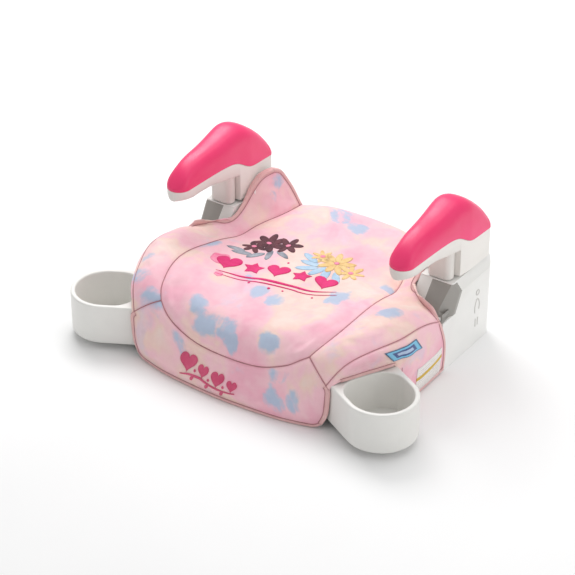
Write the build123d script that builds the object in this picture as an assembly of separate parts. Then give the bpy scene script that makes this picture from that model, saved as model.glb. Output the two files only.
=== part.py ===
from build123d import *
import math
import os

# Backless booster seat with two armrests and two slide-out cup holders.
# Millimetres, +Z up, origin on the floor under the middle of the object, front facing -Y.
# Right-hand pieces (+X) are modelled and mirrored in the plane X = 0 for the left.

# ---- driving dimensions -------------------------------------------------------------------
HALF_WIDTH = 205.0          # side wall to the symmetry plane
FRONT_Y = -180.0            # middle of the front hem
REAR_Y = 180.0              # middle of the rear edge
FRONT_CORNER = (151.5, -155.0)   # where the front meets the slanted corner wall
SIDE_START_Y = -54.3        # where the slanted corner wall meets the side wall
POD_REAR_Y = 164.0          # rear wall behind the armrests
REAR_BULGE = ((102.0, 164.0), (76.0, 178.0))   # step from the pods to the middle of the rear

WALL = 3.5                  # shell wall
DECK_Z = 82.0               # top of the shell's deck
COVER_T = 4.5               # fabric cover with its own padding
SHELL_INSET = 5.0           # cover surface to shell surface
HEM_Z = 1.0                 # lower edge of the cover
HORSESHOE_X = 126.0         # seat panel's half width

POD_X = 150.0               # inner side of the armrest pods
POD_TOP_Z = 118.0
POD_CHAMFER_Z = 104.0       # lower edge of the pod's outer chamfer
POD_FACE_TOP_Y = 67.0       # slanted face's top edge
POD_FACE_LOW = (33.5, 76.5)      # slanted face's lower edge (y, z)
TRIM_T = 3.0                # grey trim on the slanted face
TRIM_RIDGE_LOW = (192.9, 41.7, 86.4)    # where the trim's ridge runs out above its flared foot

ARM_X = 175.0               # armrest centre line
ARM_TIP_Y = -38.5
ARM_REAR_Y = 158.0
ARM_WALL = 3.0
TONGUE = (28.0, 50.0)       # armrest tongue's section (x, y)
TONGUE_Y = 121.0
TONGUE_LOW_Z = 40.0
FIT_GAP = 0.5               # sliding clearance

CUP_CENTRE = (217.5, -132.5)     # cup's axis when pulled out
CUP_OUT = (0.883, -0.469)        # direction in which the cup holder slides out
CUP_R, CUP_BORE_R = 48.0, 41.5
CUP_Z = (9.0, 68.0)
CUP_FLOOR_T, CUP_WALL = 4.0, 3.5
CUP_OPENING_HALF = 52.0     # opening in the cover's corner wall
CUP_OPENING_Z = 72.0
CUP_INNER_U = -78.0         # inner end of the cup holder's body, along the slide
TRACK_START, TRACK_END = -75.0, -210.0
TRACK_HALF = 58.0
FLANGE_Z = (34.0, 40.4)     # running flange on the cup holder

WING_DEPTH = (-1.0, 8.6)    # raised rear wing of the cover, either side of its inner plane
FIN_DEPTH = (5.0, 7.5)      # shell's fin inside the wing
FIN_INSET = 6.0
FIN_GAP = 0.4

# Armrest seen from above (y, half width) and from the side (y, z)
ARM_WIDTHS = [(-21, 17.5), (19, 20), (81, 24), (104, 26.5), (ARM_REAR_Y, 28)]
ARM_TOP = [(-38.5, 188), (-31, 197), (-22, 205.5), (3, 216.7), (38, 221.4), (69, 227.6), (87, 230.5),
           (104, 226), (119, 217), (134, 205), (149, 189), (ARM_REAR_Y, 165)]
ARM_SPLIT = [(ARM_REAR_Y, 163.4), (123, 164.6), (104, 167), (91, 174), (79, 181), (54, 185.6),
             (31, 186), (5, 185.5), (-38.5, 184.5)]
ARM_UNDER = [(-38.5, 168), (-28, 168), (-11, 165), (2, 167), (30, 165), (46, 161.5), (83, 155)]
ARM_BLOCK = (83.0, 120.0)   # front and underside of the block over the pod (y, z)
ARM_SCREW_YS = (-12.0, 40.0)
NOSE_X, NOSE_Y, NOSE_R = (157.5, 192.5), (67.0, 84.0), 12.0
BUTTON_HALF = 10.0
BUTTON_Z = (132.0, 148.0)
BUTTON_Y = (151.0, 160.5)
SPRING_RADIUS, SPRING_WIRE, SPRING_PITCH = 4.2, 0.5, 2.6

SCREW_R, SCREW_HEAD_R = 1.6, 3.2
TRACK_SCREWS = [(-110, 50.5), (-160, 50.5), (-110, -50.5), (-160, -50.5)]
GUIDE_SCREWS = [(161, 87), (189, 87), (161, 155), (189, 155)]
CLIP_SPOTS = [(-38, 38, -190, -160), (78, 112, -180, -150), (185, 210, -36, 4), (-38, 38, 160, 190)]
RIB_T = 2.5
RIB_LOW_Z = 20.0

TAG_T, LABEL_T, LABEL_GAP = 0.8, 0.5, 0.1
TAG_Y, TAG_Z = (-89.0, -38.0), (78.0, 94.0)
LABEL_Y, LABEL_Z = (-34.0, 28.0), (6.0, 46.0)

BIG = 600.0                 # past the object on every side


def plan_face(inset):
    """Outline of the seat from above, drawn inwards by inset."""
    fx, fy = FRONT_CORNER
    (ax, ay), (bx, by) = REAR_BULGE
    side = [(fx, fy), (HALF_WIDTH, SIDE_START_Y), (HALF_WIDTH, POD_REAR_Y), (ax, ay), (bx, by)]
    front = ThreePointArc((-fx, fy), (0, FRONT_Y), (fx, fy))
    right = Polyline(*side)
    rear = ThreePointArc((bx, by), (0, REAR_Y), (-bx, by))
    left = Polyline(*[(-x, y) for x, y in reversed(side)])
    face = make_face([front, right, rear, left])
    corners = face.vertices()
    face = fillet([v for v in corners if abs(v.X) > fx + 5 and v.Y < 0], 22)
    face = fillet([v for v in face.vertices() if abs(abs(v.X) - fx) < 0.5 and v.Y < 0], 14)
    face = fillet([v for v in face.vertices() if abs(v.X) > 200 and v.Y > 100], 15)
    if inset:
        face = offset(face, amount=-inset, kind=Kind.INTERSECTION)
    return face


def plan_prism(inset, low=-10.0, high=300.0):
    """Upright prism on the seat's outline."""
    return Pos(0, 0, low) * extrude(plan_face(inset), high - low)


def side_prism(points, x0, x1, inset=0.0):
    """Prism between x0 and x1 on an outline given as (y, z) points."""
    face = make_face(Polyline(*points, close=True))
    if inset:
        face = offset(face, amount=-inset, kind=Kind.INTERSECTION)
    placed = Plane.YZ.offset(x0) * face
    return extrude(placed, x1 - x0)


def front_prism(points, inset=0.0):
    """Prism through the whole depth on an outline given as (x, z) points."""
    face = make_face(Polyline(*points, close=True))
    if inset:
        face = offset(face, amount=-inset, kind=Kind.INTERSECTION)
    return extrude(Plane.XZ * face, BIG, both=True)


def box(x, y, z):
    """Box from (low, high) pairs."""
    size = [pair[1] - pair[0] for pair in (x, y, z)]
    mid = [(pair[0] + pair[1]) / 2 for pair in (x, y, z)]
    return Pos(*mid) * Box(*size)


def mirrored(shape):
    return mirror(shape, about=Plane.YZ)


def solids_of(shape):
    """Only the solids of a boolean's result, without crumbs."""
    return Compound([s for s in shape.solids() if s.volume > 5.0])


# ---- outer shapes -------------------------------------------------------------------------
SEAT_PROFILE = [(200, -8), (200, 96), (60, 97), (-30, 100), (-100, 100), (-137, 92), (-155, 74),
                (-163, 50), (-182, -8)]
BOLSTER_PROFILE = [(46, -8), (46, 101), (-14, 108), (-44, 113), (-72, 115), (-98, 111),
                   (-120, 104), (-142, 89), (-157, 68), (-190, 40), (-190, -8)]
BOLSTER_FRONT = [(119, -8), (119, 95), (134, 115), (165, 113), (197, 103), (215, 92), (215, -8)]
TRAY_PROFILE = [(200, -8), (200, 82), (-120, 82), (-145, 72), (-154, 50), (-171, -8)]


def envelope(inset):
    """Seat surface without the wings, drawn inwards by inset."""
    plan = plan_prism(inset)
    seat = plan & side_prism(SEAT_PROFILE, -130 + inset, 130 - inset, inset)
    bolster = plan & side_prism(BOLSTER_PROFILE, 100, 230, inset) & front_prism(BOLSTER_FRONT, inset)
    return seat + bolster + mirrored(bolster)


def cup_frame(shape):
    """Moves a shape drawn with +X along the slide direction to the right-hand cup holder."""
    turn = math.degrees(math.atan2(CUP_OUT[1], CUP_OUT[0]))
    return Pos(CUP_CENTRE[0], CUP_CENTRE[1], 0) * Rot(0, 0, turn) * shape


def facet_cut(back):
    """Half space in front of the pod's slanted outer facet, moved back by back."""
    plane = Plane(origin=(HALF_WIDTH, 69, 95), z_dir=(22, -13, 7.2))
    return plane * Pos(0, 0, 150 - back) * Box(BIG, BIG, 300)


def slanted_block(back, x0, x1):
    """Armrest pod with a slanted front face moved back by back."""
    low_y, low_z = POD_FACE_LOW
    shift = back * 1.35
    points = [(low_y + shift, -10), (low_y + shift, low_z), (POD_FACE_TOP_Y + shift, 117),
              (POD_FACE_TOP_Y + shift, POD_TOP_Z), (REAR_Y, POD_TOP_Z), (REAR_Y, -10)]
    return side_prism(points, x0, x1)


def above(z):
    return box((-BIG, BIG), (-BIG, BIG), (z, BIG))


def pod_block(back, x0, x1, ledge=POD_FACE_LOW[1]):
    """Armrest pod with its facets moved back by back; the outer facet ends on a ledge."""
    outer = Plane(origin=(HALF_WIDTH, 0, POD_CHAMFER_Z), z_dir=(2, 0, 1))
    chamfer = outer * Pos(0, 0, 150 - min(back, WALL)) * Box(2 * BIG, 2 * BIG, 300)
    return slanted_block(back, x0, x1) - (facet_cut(back) & above(ledge)) - chamfer


def wing_plane():
    """Plane of the right wing's inner face."""
    start, rear, peak = Vector(126, 48, 92), Vector(99, 157, 98), Vector(132, 140, 154)
    normal = (rear - start).cross(peak - start)
    return Plane(origin=start, x_dir=rear - start, z_dir=normal)


WING_EDGE = [(-1, 10), (14, 27), (44, 49), (76, 63), (92, 62), (104, 50), (110, 28)]


def wing_slab(inset, low, high):
    """Slab between two depths on the wing's outline, drawn inwards by inset."""
    middle = WING_EDGE[-1][0] / 2
    edge = [((x - middle) * (1 - inset / middle) + middle, y - inset) for x, y in WING_EDGE]
    foot = -14
    base = Polyline(edge[-1], (edge[-1][0], foot), (edge[0][0], foot), edge[0])
    face = make_face([Spline(*edge), base])
    return wing_plane() * Pos(0, 0, low) * extrude(face, high - low)


# ---- shell --------------------------------------------------------------------------------
def tray_space(grow=0.0):
    """Hollow under the deck, made larger by grow."""
    plan = plan_prism(SHELL_INSET + WALL - grow, -10, 200)
    return plan & side_prism(TRAY_PROFILE, -BIG, BIG, WALL - grow)


def clip_notches():
    cuts = []
    for x0, x1, y0, y1 in CLIP_SPOTS:
        cut = box((x0, x1), (y0, y1), (-5, 3.2))
        cuts += [cut] if x0 < 0 else [cut, mirrored(cut)]
    return cuts


def tongue_section(grow):
    """The tongue's (x, y) extents, made larger by grow."""
    half_x, half_y = TONGUE[0] / 2 + grow, TONGUE[1] / 2 + grow
    return (ARM_X - half_x, ARM_X + half_x), (TONGUE_Y - half_y, TONGUE_Y + half_y)


def make_shell():
    """White moulded base: ribbed deck, skirt wall, armrest pods and the wings' fins."""
    outer = plan_prism(SHELL_INSET, 0, 200) & side_prism(TRAY_PROFILE, -BIG, BIG)
    shell = outer - tray_space()
    ribs = Part()
    for x, start in ((0, FRONT_Y), (-62, 30), (62, 30)):
        ribs += box((x - RIB_T / 2, x + RIB_T / 2), (start, REAR_Y), (RIB_LOW_Z, DECK_Z))
    for y, reach, low in ((30, 62, RIB_LOW_Z), (105, 146, RIB_LOW_Z + 10)):
        ribs += box((-reach, reach), (y - RIB_T / 2, y + RIB_T / 2), (low, DECK_Z))
    shell += ribs & tray_space(0.2)
    half = CUP_OPENING_HALF + 1
    opening = cup_frame(box((-70, 40), (-half, half), (-5, CUP_OPENING_Z + 1)))
    for flip in (False, True):
        pod = pod_block(0, POD_X, HALF_WIDTH) & plan_prism(0, 0, 200)
        hollow = pod_block(TRIM_T + WALL, POD_X + WALL, HALF_WIDTH - WALL, POD_FACE_LOW[1] - WALL)
        hollow &= plan_prism(WALL, -10, POD_TOP_Z - WALL)
        mouth = box(*tongue_section(FIT_GAP), (100, 130))
        fin = wing_slab(FIN_INSET, *FIN_DEPTH) & box((90, 160), (98, 175), (DECK_Z - 2, 170))
        bosses = Part()
        for u, v in TRACK_SCREWS:
            bosses += cup_frame(Pos(u, v, 76.9) * Cylinder(4, 3.8))
        screws = Part()
        for u, v in TRACK_SCREWS:
            screws += cup_frame(Pos(u, v, 76) * Cylinder(SCREW_R, 9))
        for x, y in GUIDE_SCREWS:
            screws += Pos(x, y, 112) * Cylinder(SCREW_R, 9.5)
        add, cut = pod, hollow
        if flip:
            add, cut = mirrored(pod), mirrored(hollow)
            fin, bosses, screws, mouth = mirrored(fin), mirrored(bosses), mirrored(screws), mirrored(mouth)
        gate = mirrored(opening) if flip else opening
        shell = (shell + add + fin + bosses) - cut - gate - mouth - screws
    for cut in clip_notches():
        shell -= cut
    trim = make_side_trim()
    return solids_of(shell - trim - mirrored(trim))


def make_side_trim():
    """Grey trim over the slanted faces of the right pod."""
    full = pod_block(0, 168, HALF_WIDTH)
    core = slanted_block(TRIM_T, 168, HALF_WIDTH) - facet_cut(TRIM_T)
    flare_plane = Plane(origin=TRIM_RIDGE_LOW, z_dir=(1, 0.12, 1.04))
    flare = slanted_block(0, 168, HALF_WIDTH) & facet_cut(0)
    flare &= flare_plane * Pos(0, 0, -150) * Box(BIG, BIG, 300)
    return solids_of(((full - core) + flare) & box((168, HALF_WIDTH), (20, 100), (POD_FACE_LOW[1], 116.5)))


# ---- foam and cover -----------------------------------------------------------------------
def pod_clearance():
    """Room for the pods, the wings' foot and the deck behind the bolsters."""
    low_y, low_z = POD_FACE_LOW
    points = [(low_y - 1, -20), (low_y - 1, low_z), (POD_FACE_TOP_Y - 1, 118), (400, 118), (400, -20)]
    right = side_prism(points, POD_X - 1, 400)
    return right + mirrored(right)


def fin_clearance():
    fin = fin_slot()
    return fin + mirrored(fin)


def fin_slot():
    return wing_slab(FIN_INSET - FIN_GAP, FIN_DEPTH[0] - FIN_GAP, FIN_DEPTH[1] + FIN_GAP)


def horseshoe():
    """Prism inside the seam that runs round the seat panel."""
    right = [(108, 120), (HORSESHOE_X, 48), (136.5, -58), (129, -121), (95.3, -153), (0, -161)]
    curve = Spline((101, 200), *right, *[(-x, y) for x, y in reversed(right[:-1])], (-101, 200))
    face = make_face([curve, Line((-101, 200), (101, 200))])
    return Pos(0, 0, -20) * extrude(face, 400)


def make_foam():
    core = envelope(COVER_T + 0.2) & plan_prism(SHELL_INSET + 2)
    core -= plan_prism(SHELL_INSET - 1, -20, 200) & side_prism(TRAY_PROFILE, -BIG, BIG, -0.3)
    core &= above(40)
    core -= box((POD_X - 26, BIG), (44, BIG), (0, 200)) + box((-BIG, -POD_X + 26), (44, BIG), (0, 200))
    for slide in (cup_slide_room(), mirrored(cup_slide_room())):
        core -= slide
    return solids_of(core - pod_clearance() - fin_clearance())


def cup_slide_room():
    """Space that the right cup holder needs from fully out to fully in."""
    return cup_frame(box((-180, 60), (-CUP_R - 1, CUP_R + 1), (-20, CUP_Z[1] + 1)))


def make_cover_panels():
    """The sewn cover, cut into its panels along the seams."""
    skin = envelope(0) - envelope(COVER_T)
    skin &= box((-BIG, BIG), (-BIG, BIG), (HEM_Z, 300))
    gate = cup_frame(box((-70, 60), (-CUP_OPENING_HALF, CUP_OPENING_HALF), (-20, CUP_OPENING_Z)))
    skin = skin - gate - mirrored(gate) - pod_clearance() - fin_clearance()
    inside = horseshoe()
    below_deck = box((100, POD_X), (20, 60), (0, DECK_Z + 0.3))
    centre = (skin & inside) & box((-BIG, BIG), (-BIG, BIG), (49, 300))
    centre = centre - below_deck - mirrored(below_deck)
    centre -= box((-BIG, BIG), (150, BIG), (0, 76))
    around = skin - inside
    bend = [(0, -100), (116.4, -142.4), (200, -176.4), (200, -240), (-200, -240), (-200, -176.4),
            (-116.4, -142.4)]
    front_zone = Pos(0, 0, -20) * extrude(make_face(Polyline(*bend, close=True)), 400)
    front = around & front_zone
    front += (skin & inside & front_zone & box((-BIG, BIG), (-BIG, BIG), (0, 49)))
    side = (around - front_zone) & box((60, BIG), (-BIG, 50), (0, 300))
    inner = plan_prism(COVER_T)
    return {
        "cover_centre_panel": solids_of(centre),
        "cover_front_panel": solids_of(front),
        "cover_right_bolster": solids_of((side & inner) - below_deck),
        "cover_right_skirt": solids_of(side - inner),
    }


def make_wing():
    """Padded wing that wraps the shell's fin."""
    wing = wing_slab(0, *WING_DEPTH) - fin_slot()
    base = plan_prism(0) & side_prism(SEAT_PROFILE, -BIG, BIG)
    bolster = plan_prism(0) & side_prism(BOLSTER_PROFILE, 100, 230)
    return solids_of(wing - base - bolster - pod_clearance())


def make_clips():
    """Clips on the cover's hem that hook over the shell's lower edge."""
    upright = (tray_space(-0.4) - tray_space(-2.2)) & box((-BIG, BIG), (-BIG, BIG), (0.6, 16))
    foot = plan_prism(COVER_T + 0.6, 0.6, 2.6) & side_prism(TRAY_PROFILE, -BIG, BIG, 0.6)
    ring = upright + (foot - tray_space(-2.2))
    clips = []
    for x0, x1, y0, y1 in CLIP_SPOTS:
        margin = 2 if x0 > 100 else 0
        piece = ring & box((x0 + 2, x1 - 2), (y0 + margin, y1 - margin), (0, 20))
        clips += [piece] if x0 < 0 else [piece, mirrored(piece)]
    return Compound([s for clip in clips for s in clip.solids()])


# ---- cup holders --------------------------------------------------------------------------
def cup_outline(radius, inner, corner):
    """Round outside with a squarer end towards the seat, reaching to u = inner."""
    back = [Pos(inner + corner, side * (radius - corner)) * Circle(corner) for side in (-1, 1)]
    return make_hull((Circle(radius) + back[0] + back[1]).edges())


def make_cup():
    """Cup and its sliding tail, drawn in the slide frame and then placed."""
    low, high = CUP_Z
    body = Pos(0, 0, low) * extrude(cup_outline(CUP_R, CUP_INNER_U, 6), high - low)
    body = fillet(body.edges().filter_by_position(Axis.Z, low, low), 5)
    body -= box((CUP_INNER_U + CUP_WALL, -47), (CUP_WALL - CUP_R, CUP_R - CUP_WALL), (0, high - CUP_WALL))
    tail = box((-118, CUP_INNER_U + 1), (-CUP_R + 2, CUP_R - 2), (20, 24))
    for side in (-1, 1):
        rail = sorted((side * (CUP_R - 8), side * (CUP_R - 2)))
        flange = sorted((side * (CUP_R - 3), side * (TRACK_HALF - 4)))
        tail += box((-118, CUP_INNER_U + 1), rail, (20, 58)) + box((-118, CUP_INNER_U), flange, FLANGE_Z)
    hollow = Pos(0, 0, low + CUP_FLOOR_T) * extrude(cup_outline(CUP_BORE_R, -43, 29), 80)
    cup = (body + tail) - hollow
    rim = [e for e in cup.edges().filter_by_position(Axis.Z, high, high)]
    cup = fillet(rim, 2.2)
    return cup_frame(cup)


def make_track():
    """Channel under the deck that carries the cup holder's flanges."""
    length = (TRACK_END, TRACK_START)
    track = box(length, (-TRACK_HALF, TRACK_HALF), (72, 75))
    for side in (-1, 1):
        web = sorted((side * (TRACK_HALF - 3.5), side * TRACK_HALF))
        lips = sorted((side * (TRACK_HALF - 9), side * (TRACK_HALF - 3)))
        track += box(length, web, (30, 72))
        track += box(length, lips, (30, 33.5)) + box(length, lips, (41, 44))
    track -= box((-200, -125), (-30, 30), (60, 80))
    for u, v in TRACK_SCREWS:
        track -= Pos(u, v, 75) * Cylinder(SCREW_R, 12)
    return solids_of(cup_frame(track) & tray_space(-0.4))


def screw(low, head, shank):
    """Screw on the Z axis, head down with a cross recess: low end, head height, shank length."""
    shape = Pos(0, 0, low + head / 2) * Cylinder(SCREW_HEAD_R, head)
    shape += Pos(0, 0, low + head + shank / 2) * Cylinder(SCREW_R, shank)
    return shape - Pos(0, 0, low + 0.2) * (Box(3.6, 0.9, 1.6) + Box(0.9, 3.6, 1.6))


def make_track_screws():
    screws = Part()
    for u, v in TRACK_SCREWS:
        screws += cup_frame(Pos(u, v, 0) * screw(69.8, 2.2, 7.5))
    return solids_of(screws)


def make_cup_spring():
    """Leaf spring under the track's plate that holds the cup holder at either end."""
    leaf = box((-121, -84), (-6, 6), (71.3, 72)) + box((-108, -98), (-6, 6), (70.0, 71.4))
    return cup_frame(leaf)


# ---- armrests -----------------------------------------------------------------------------
def arm_plan(inset, low, high):
    right = [(ARM_X + w, y) for y, w in ARM_WIDTHS]
    left = [(ARM_X - w, y) for y, w in reversed(ARM_WIDTHS)]
    tip = ThreePointArc(left[-1], (ARM_X, ARM_TIP_Y), right[0])
    face = make_face([Polyline(*right), Line(right[-1], left[0]), Polyline(*left), tip])
    face = fillet([v for v in face.vertices() if v.Y > ARM_REAR_Y - 1], 8)
    if inset:
        face = offset(face, amount=-inset, kind=Kind.INTERSECTION)
    return Pos(0, 0, low) * extrude(face, high - low)


def cover_profile():
    return make_face([Spline(*ARM_TOP), Line(ARM_TOP[-1], ARM_SPLIT[0]), Spline(*ARM_SPLIT),
                      Line(ARM_SPLIT[-1], ARM_TOP[0])])


def body_profile():
    block = Polyline(ARM_UNDER[-1], ARM_BLOCK, (ARM_REAR_Y, ARM_BLOCK[1]), ARM_SPLIT[0])
    return make_face([Spline(*ARM_SPLIT), Line(ARM_SPLIT[-1], ARM_UNDER[0]), Polyline(*ARM_UNDER), block])


def across_arm(face, lift=0.0):
    """Profile extruded across the armrest."""
    return Pos(0, 0, lift) * extrude(Plane.YZ.offset(130) * face, 90)


def make_armrest_cover():
    """Pink upper shell of the armrest, open underneath."""
    outer = across_arm(cover_profile()) & arm_plan(0, 100, 260)
    inner = across_arm(cover_profile(), -ARM_WALL) + across_arm(cover_profile(), -4 * ARM_WALL)
    shell = outer - (inner & arm_plan(ARM_WALL, 100, 260))
    for y in ARM_SCREW_YS:
        shell += (Pos(ARM_X, y, 206.5) * Cylinder(4, 42)) & outer
    return solids_of(shell - screw_holes())


def screw_holes():
    holes = Part()
    for y in ARM_SCREW_YS:
        holes += Pos(ARM_X, y, 182.5) * Cylinder(SCREW_R, 26)
    return holes


def make_armrest_body():
    """White lower half of the armrest with its post and tongue."""
    outer = across_arm(body_profile()) & arm_plan(0, 100, 260)
    inner = across_arm(body_profile(), ARM_WALL) + across_arm(body_profile(), 4 * ARM_WALL)
    inner -= box((100, 250), (82, 86), (115, 158))
    body = outer - (inner & arm_plan(ARM_WALL, 100, 260))
    nose = box(NOSE_X, NOSE_Y, (ARM_BLOCK[1], 158))
    nose = fillet(nose.edges().filter_by(Axis.Z).group_by(Axis.Y)[0], NOSE_R)
    core = box((163.5, 186.5), (73, 87), (123, 155))
    body = (body + nose) - core
    body += box(*tongue_section(0), (TONGUE_LOW_Z, 121))
    body -= box(*tongue_section(-ARM_WALL), (TONGUE_LOW_Z - 5, 124))
    for y in ARM_SCREW_YS:
        body += (Pos(ARM_X, y, 176.5) * Cylinder(4, 20)) & outer
        body -= Pos(ARM_X, y, 168.2) * Cylinder(SCREW_HEAD_R + 0.2, 5.4)
    half = BUTTON_HALF + 0.4
    body -= box((ARM_X - half, ARM_X + half), (150, 165), (BUTTON_Z[0] - 0.4, BUTTON_Z[1] + 0.4))
    body += box((ARM_X - 14, ARM_X + 14), (133, 135), (122, 150))
    return solids_of(body - screw_holes())


def make_armrest_screws():
    screws = Part()
    for y in ARM_SCREW_YS:
        screws += Pos(ARM_X, y, 0) * screw(168.2, 2.4, 23.4)
    return solids_of(screws)


def make_latch_button():
    """Release button in the armrest's rear wall."""
    z0, z1 = BUTTON_Z
    button = box((ARM_X - BUTTON_HALF, ARM_X + BUTTON_HALF), BUTTON_Y, (z0, z1))
    button = fillet(button.edges().group_by(Axis.Y)[-1], 1.5)
    flange = BUTTON_HALF + 3
    button += box((ARM_X - flange, ARM_X + flange), (150.5, 153.5), (z0 - 3, z1 + 3))
    button += Pos(ARM_X, 148, 140) * Rot(90, 0, 0) * Cylinder(2.4, 6)
    return button


def make_latch_spring():
    wire = Helix(SPRING_PITCH, 13.6, SPRING_RADIUS)
    coil = sweep(Plane(wire @ 0, z_dir=wire % 0) * Circle(SPRING_WIRE), path=wire)
    return Pos(ARM_X, 149.8, 140) * Rot(90, 0, 0) * coil


def make_guide():
    """Sleeve inside the pod that the armrest's tongue slides in."""
    sleeve = box(*tongue_section(FIT_GAP + 3), (24, 114.5))
    sleeve += box((156, 194), (81, 159.5), (111.5, 114.5))
    sleeve -= box(*tongue_section(FIT_GAP), (27, 130))
    rear_y = tongue_section(FIT_GAP)[1][1]
    sleeve -= box((ARM_X - 6, ARM_X + 6), (rear_y - 1, rear_y + 5), (50, 108))
    for x, y in GUIDE_SCREWS:
        sleeve -= Pos(x, y, 112) * Cylinder(SCREW_R, 9.5)
    return solids_of(sleeve)


def make_guide_screws():
    screws = Part()
    for x, y in GUIDE_SCREWS:
        screws += Pos(x, y, 0) * screw(109.3, 2.2, 5.0)
    return solids_of(screws)


# ---- small sewn and stuck pieces ----------------------------------------------------------
def make_side_tag():
    """Woven tag under the side seam, bent round the corner of the right skirt."""
    wrap = plan_prism(-LABEL_GAP - TAG_T) - plan_prism(-LABEL_GAP)
    return solids_of(wrap & box((POD_X, BIG), TAG_Y, TAG_Z))


def make_label():
    """Plain label on the right skirt."""
    near = HALF_WIDTH + LABEL_GAP
    return box((near, near + LABEL_T), LABEL_Y, LABEL_Z)


def build():
    parts = {"seat_shell": make_shell(), "foam_pad": make_foam(), "cover_clips": make_clips()}
    parts.update(make_cover_panels())
    right = {
        "cover_right_bolster": parts["cover_right_bolster"],
        "cover_right_skirt": parts["cover_right_skirt"],
        "cover_right_wing": make_wing(),
        "right_side_trim": make_side_trim(),
        "right_cup_holder": make_cup(),
        "right_cup_track": make_track(),
        "right_track_screws": make_track_screws(),
        "right_cup_spring": make_cup_spring(),
        "right_armrest_body": make_armrest_body(),
        "right_armrest_cover": make_armrest_cover(),
        "right_armrest_screws": make_armrest_screws(),
        "right_latch_button": make_latch_button(),
        "right_latch_spring": make_latch_spring(),
        "right_armrest_guide": make_guide(),
        "right_guide_screws": make_guide_screws(),
    }
    for name, shape in right.items():
        parts[name] = shape
        parts[name.replace("right", "left")] = mirrored(shape)
    parts["side_tag"] = make_side_tag()
    parts["side_label"] = make_label()
    return parts


os.makedirs("parts", exist_ok=True)
for node, shape in build().items():
    export_step(shape, f"parts/{node}.step")
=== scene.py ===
import bmesh
import bpy
import math
import numpy as np
from mathutils import Matrix, Vector
from mathutils.bvhtree import BVHTree


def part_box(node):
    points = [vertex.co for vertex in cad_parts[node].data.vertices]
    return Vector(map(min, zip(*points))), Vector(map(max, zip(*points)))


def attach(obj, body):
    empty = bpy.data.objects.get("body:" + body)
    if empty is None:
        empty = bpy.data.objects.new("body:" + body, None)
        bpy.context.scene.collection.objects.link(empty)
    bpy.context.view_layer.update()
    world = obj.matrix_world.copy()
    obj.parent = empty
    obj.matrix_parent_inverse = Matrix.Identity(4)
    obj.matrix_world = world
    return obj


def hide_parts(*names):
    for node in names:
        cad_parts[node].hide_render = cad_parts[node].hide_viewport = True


# Looks of a backless booster seat, built round its CAD frame. Helpers take millimetres
# and make metres; right-hand pieces (+X) are made first and mirrored for the left.

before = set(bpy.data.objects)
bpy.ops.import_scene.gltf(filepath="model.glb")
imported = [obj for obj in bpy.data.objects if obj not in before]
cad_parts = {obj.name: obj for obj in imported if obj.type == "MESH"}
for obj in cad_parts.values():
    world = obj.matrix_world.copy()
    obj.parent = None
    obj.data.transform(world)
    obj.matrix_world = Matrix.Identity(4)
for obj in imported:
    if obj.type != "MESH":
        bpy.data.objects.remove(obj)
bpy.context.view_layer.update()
MM = 0.001
SIDES = (("right", 1.0), ("left", -1.0))

# ---- named places, in millimetres ---------------------------------------------------------
SEAT_FRONT = [(0, -161, 55), (43, -160, 57.5), (65, -158.5, 62.7), (79, -157.5, 68.7), (95, -154, 76),
              (106, -150, 83.8), (116.4, -142.4, 89.2)]
SEAT_SIDE = [(116.4, -142.4, 89.2), (124.4, -132, 99.4), (128.9, -121, 104), (135.2, -98, 111.2),
             (137.6, -72, 114.8), (135.9, -44, 113.3), (132.4, -14, 107.9), (129.7, 17.4, 100.2),
             (125.7, 47.8, 92.1), (120, 73, 95), (107, 115, 97), (99, 157, 98)]
SEAT_REAR = [(99, 157, 98), (85, 162, 99), (60, 172, 100), (30, 176, 100), (0, 177, 100)]
SEAT_MIDDLE = [(0, -161, 55), (0, -156, 74), (0, -146, 87), (0, -128, 95.5), (0, -100, 99.5),
               (0, -30, 100), (0, 60, 98), (0, 130, 98.5), (0, 177, 100)]
SIDE_SEAM = [(151, -157, 67), (158, -149, 80), (166, -138, 92), (178, -114, 99.5), (189.5, -88, 102),
             (200, -60, 103), (203.5, -31, 102), (205, -5, 97), (205.5, 12, 91), (205, 25, 85)]
WING_SIDE = [(205, 25, 85), (196, 27, 95), (180, 25, 106), (165, 34, 107), (151, 47, 108),
             (147, 58, 109), (146, 67, 112), (145, 81, 121), (142.5, 96, 136), (139, 110, 148),
             (135, 121, 153), (131, 133, 154.5)]
WING_REAR = [(131, 133, 154.5), (127, 143, 151), (121, 150, 139), (113, 155, 123), (105, 156.5, 108),
             (99, 157, 98)]
BOLSTER_FRONT = [(116.4, -142.4, 89.2), (128, -149, 84), (140, -154, 76), (151, -157, 67)]
FRONT_HEM = [(0, -180, 2), (60, -177, 2), (105, -171, 2), (126, -165.5, 2.2), (139, -161.5, 3.6),
             (146.5, -159, 8)]
FRONT_END = [(151, -157, 67), (154.8, -158, 62.5), (155.8, -158.4, 52), (154.8, -158.2, 36),
             (152.2, -158.4, 20), (146.5, -159, 8)]
SKIRT_REAR = [(205, 25, 85), (205.3, 31, 69), (205.3, 38, 50), (205.2, 41, 29), (205, 39, 3)]
CORNER_START, CORNER_DIR, CORNER_LENGTH = (151.5, -155.0), (0.469, 0.883), 114.0     # slanted wall
CORNER_DEPTH = 100.7        # how far the slanted wall runs to the rear
CORNER_BEND = 9             # half the length of the bend into the side wall
SIDE_WALL_X = 205.0
# Lower edge of the skirt round the cup opening: distance along the walls, height
OPENING = [(-0.6, 60), (0.6, 65.5), (4.5, 69.2), (12, 70.4), (50, 71.4), (84, 70.9), (95, 70.0), (100, 67.0),
           (102.4, 60), (103, 48), (103, 30), (103, 2), (130, 2), (170, 2), (207, 3)]
# Roll of the seat over its rear edge: distance out, height
REAR_ROLL = [(0, 0), (2.3, -2.5), (3.4, -7), (3.4, -15), (2.6, -28)]

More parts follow.
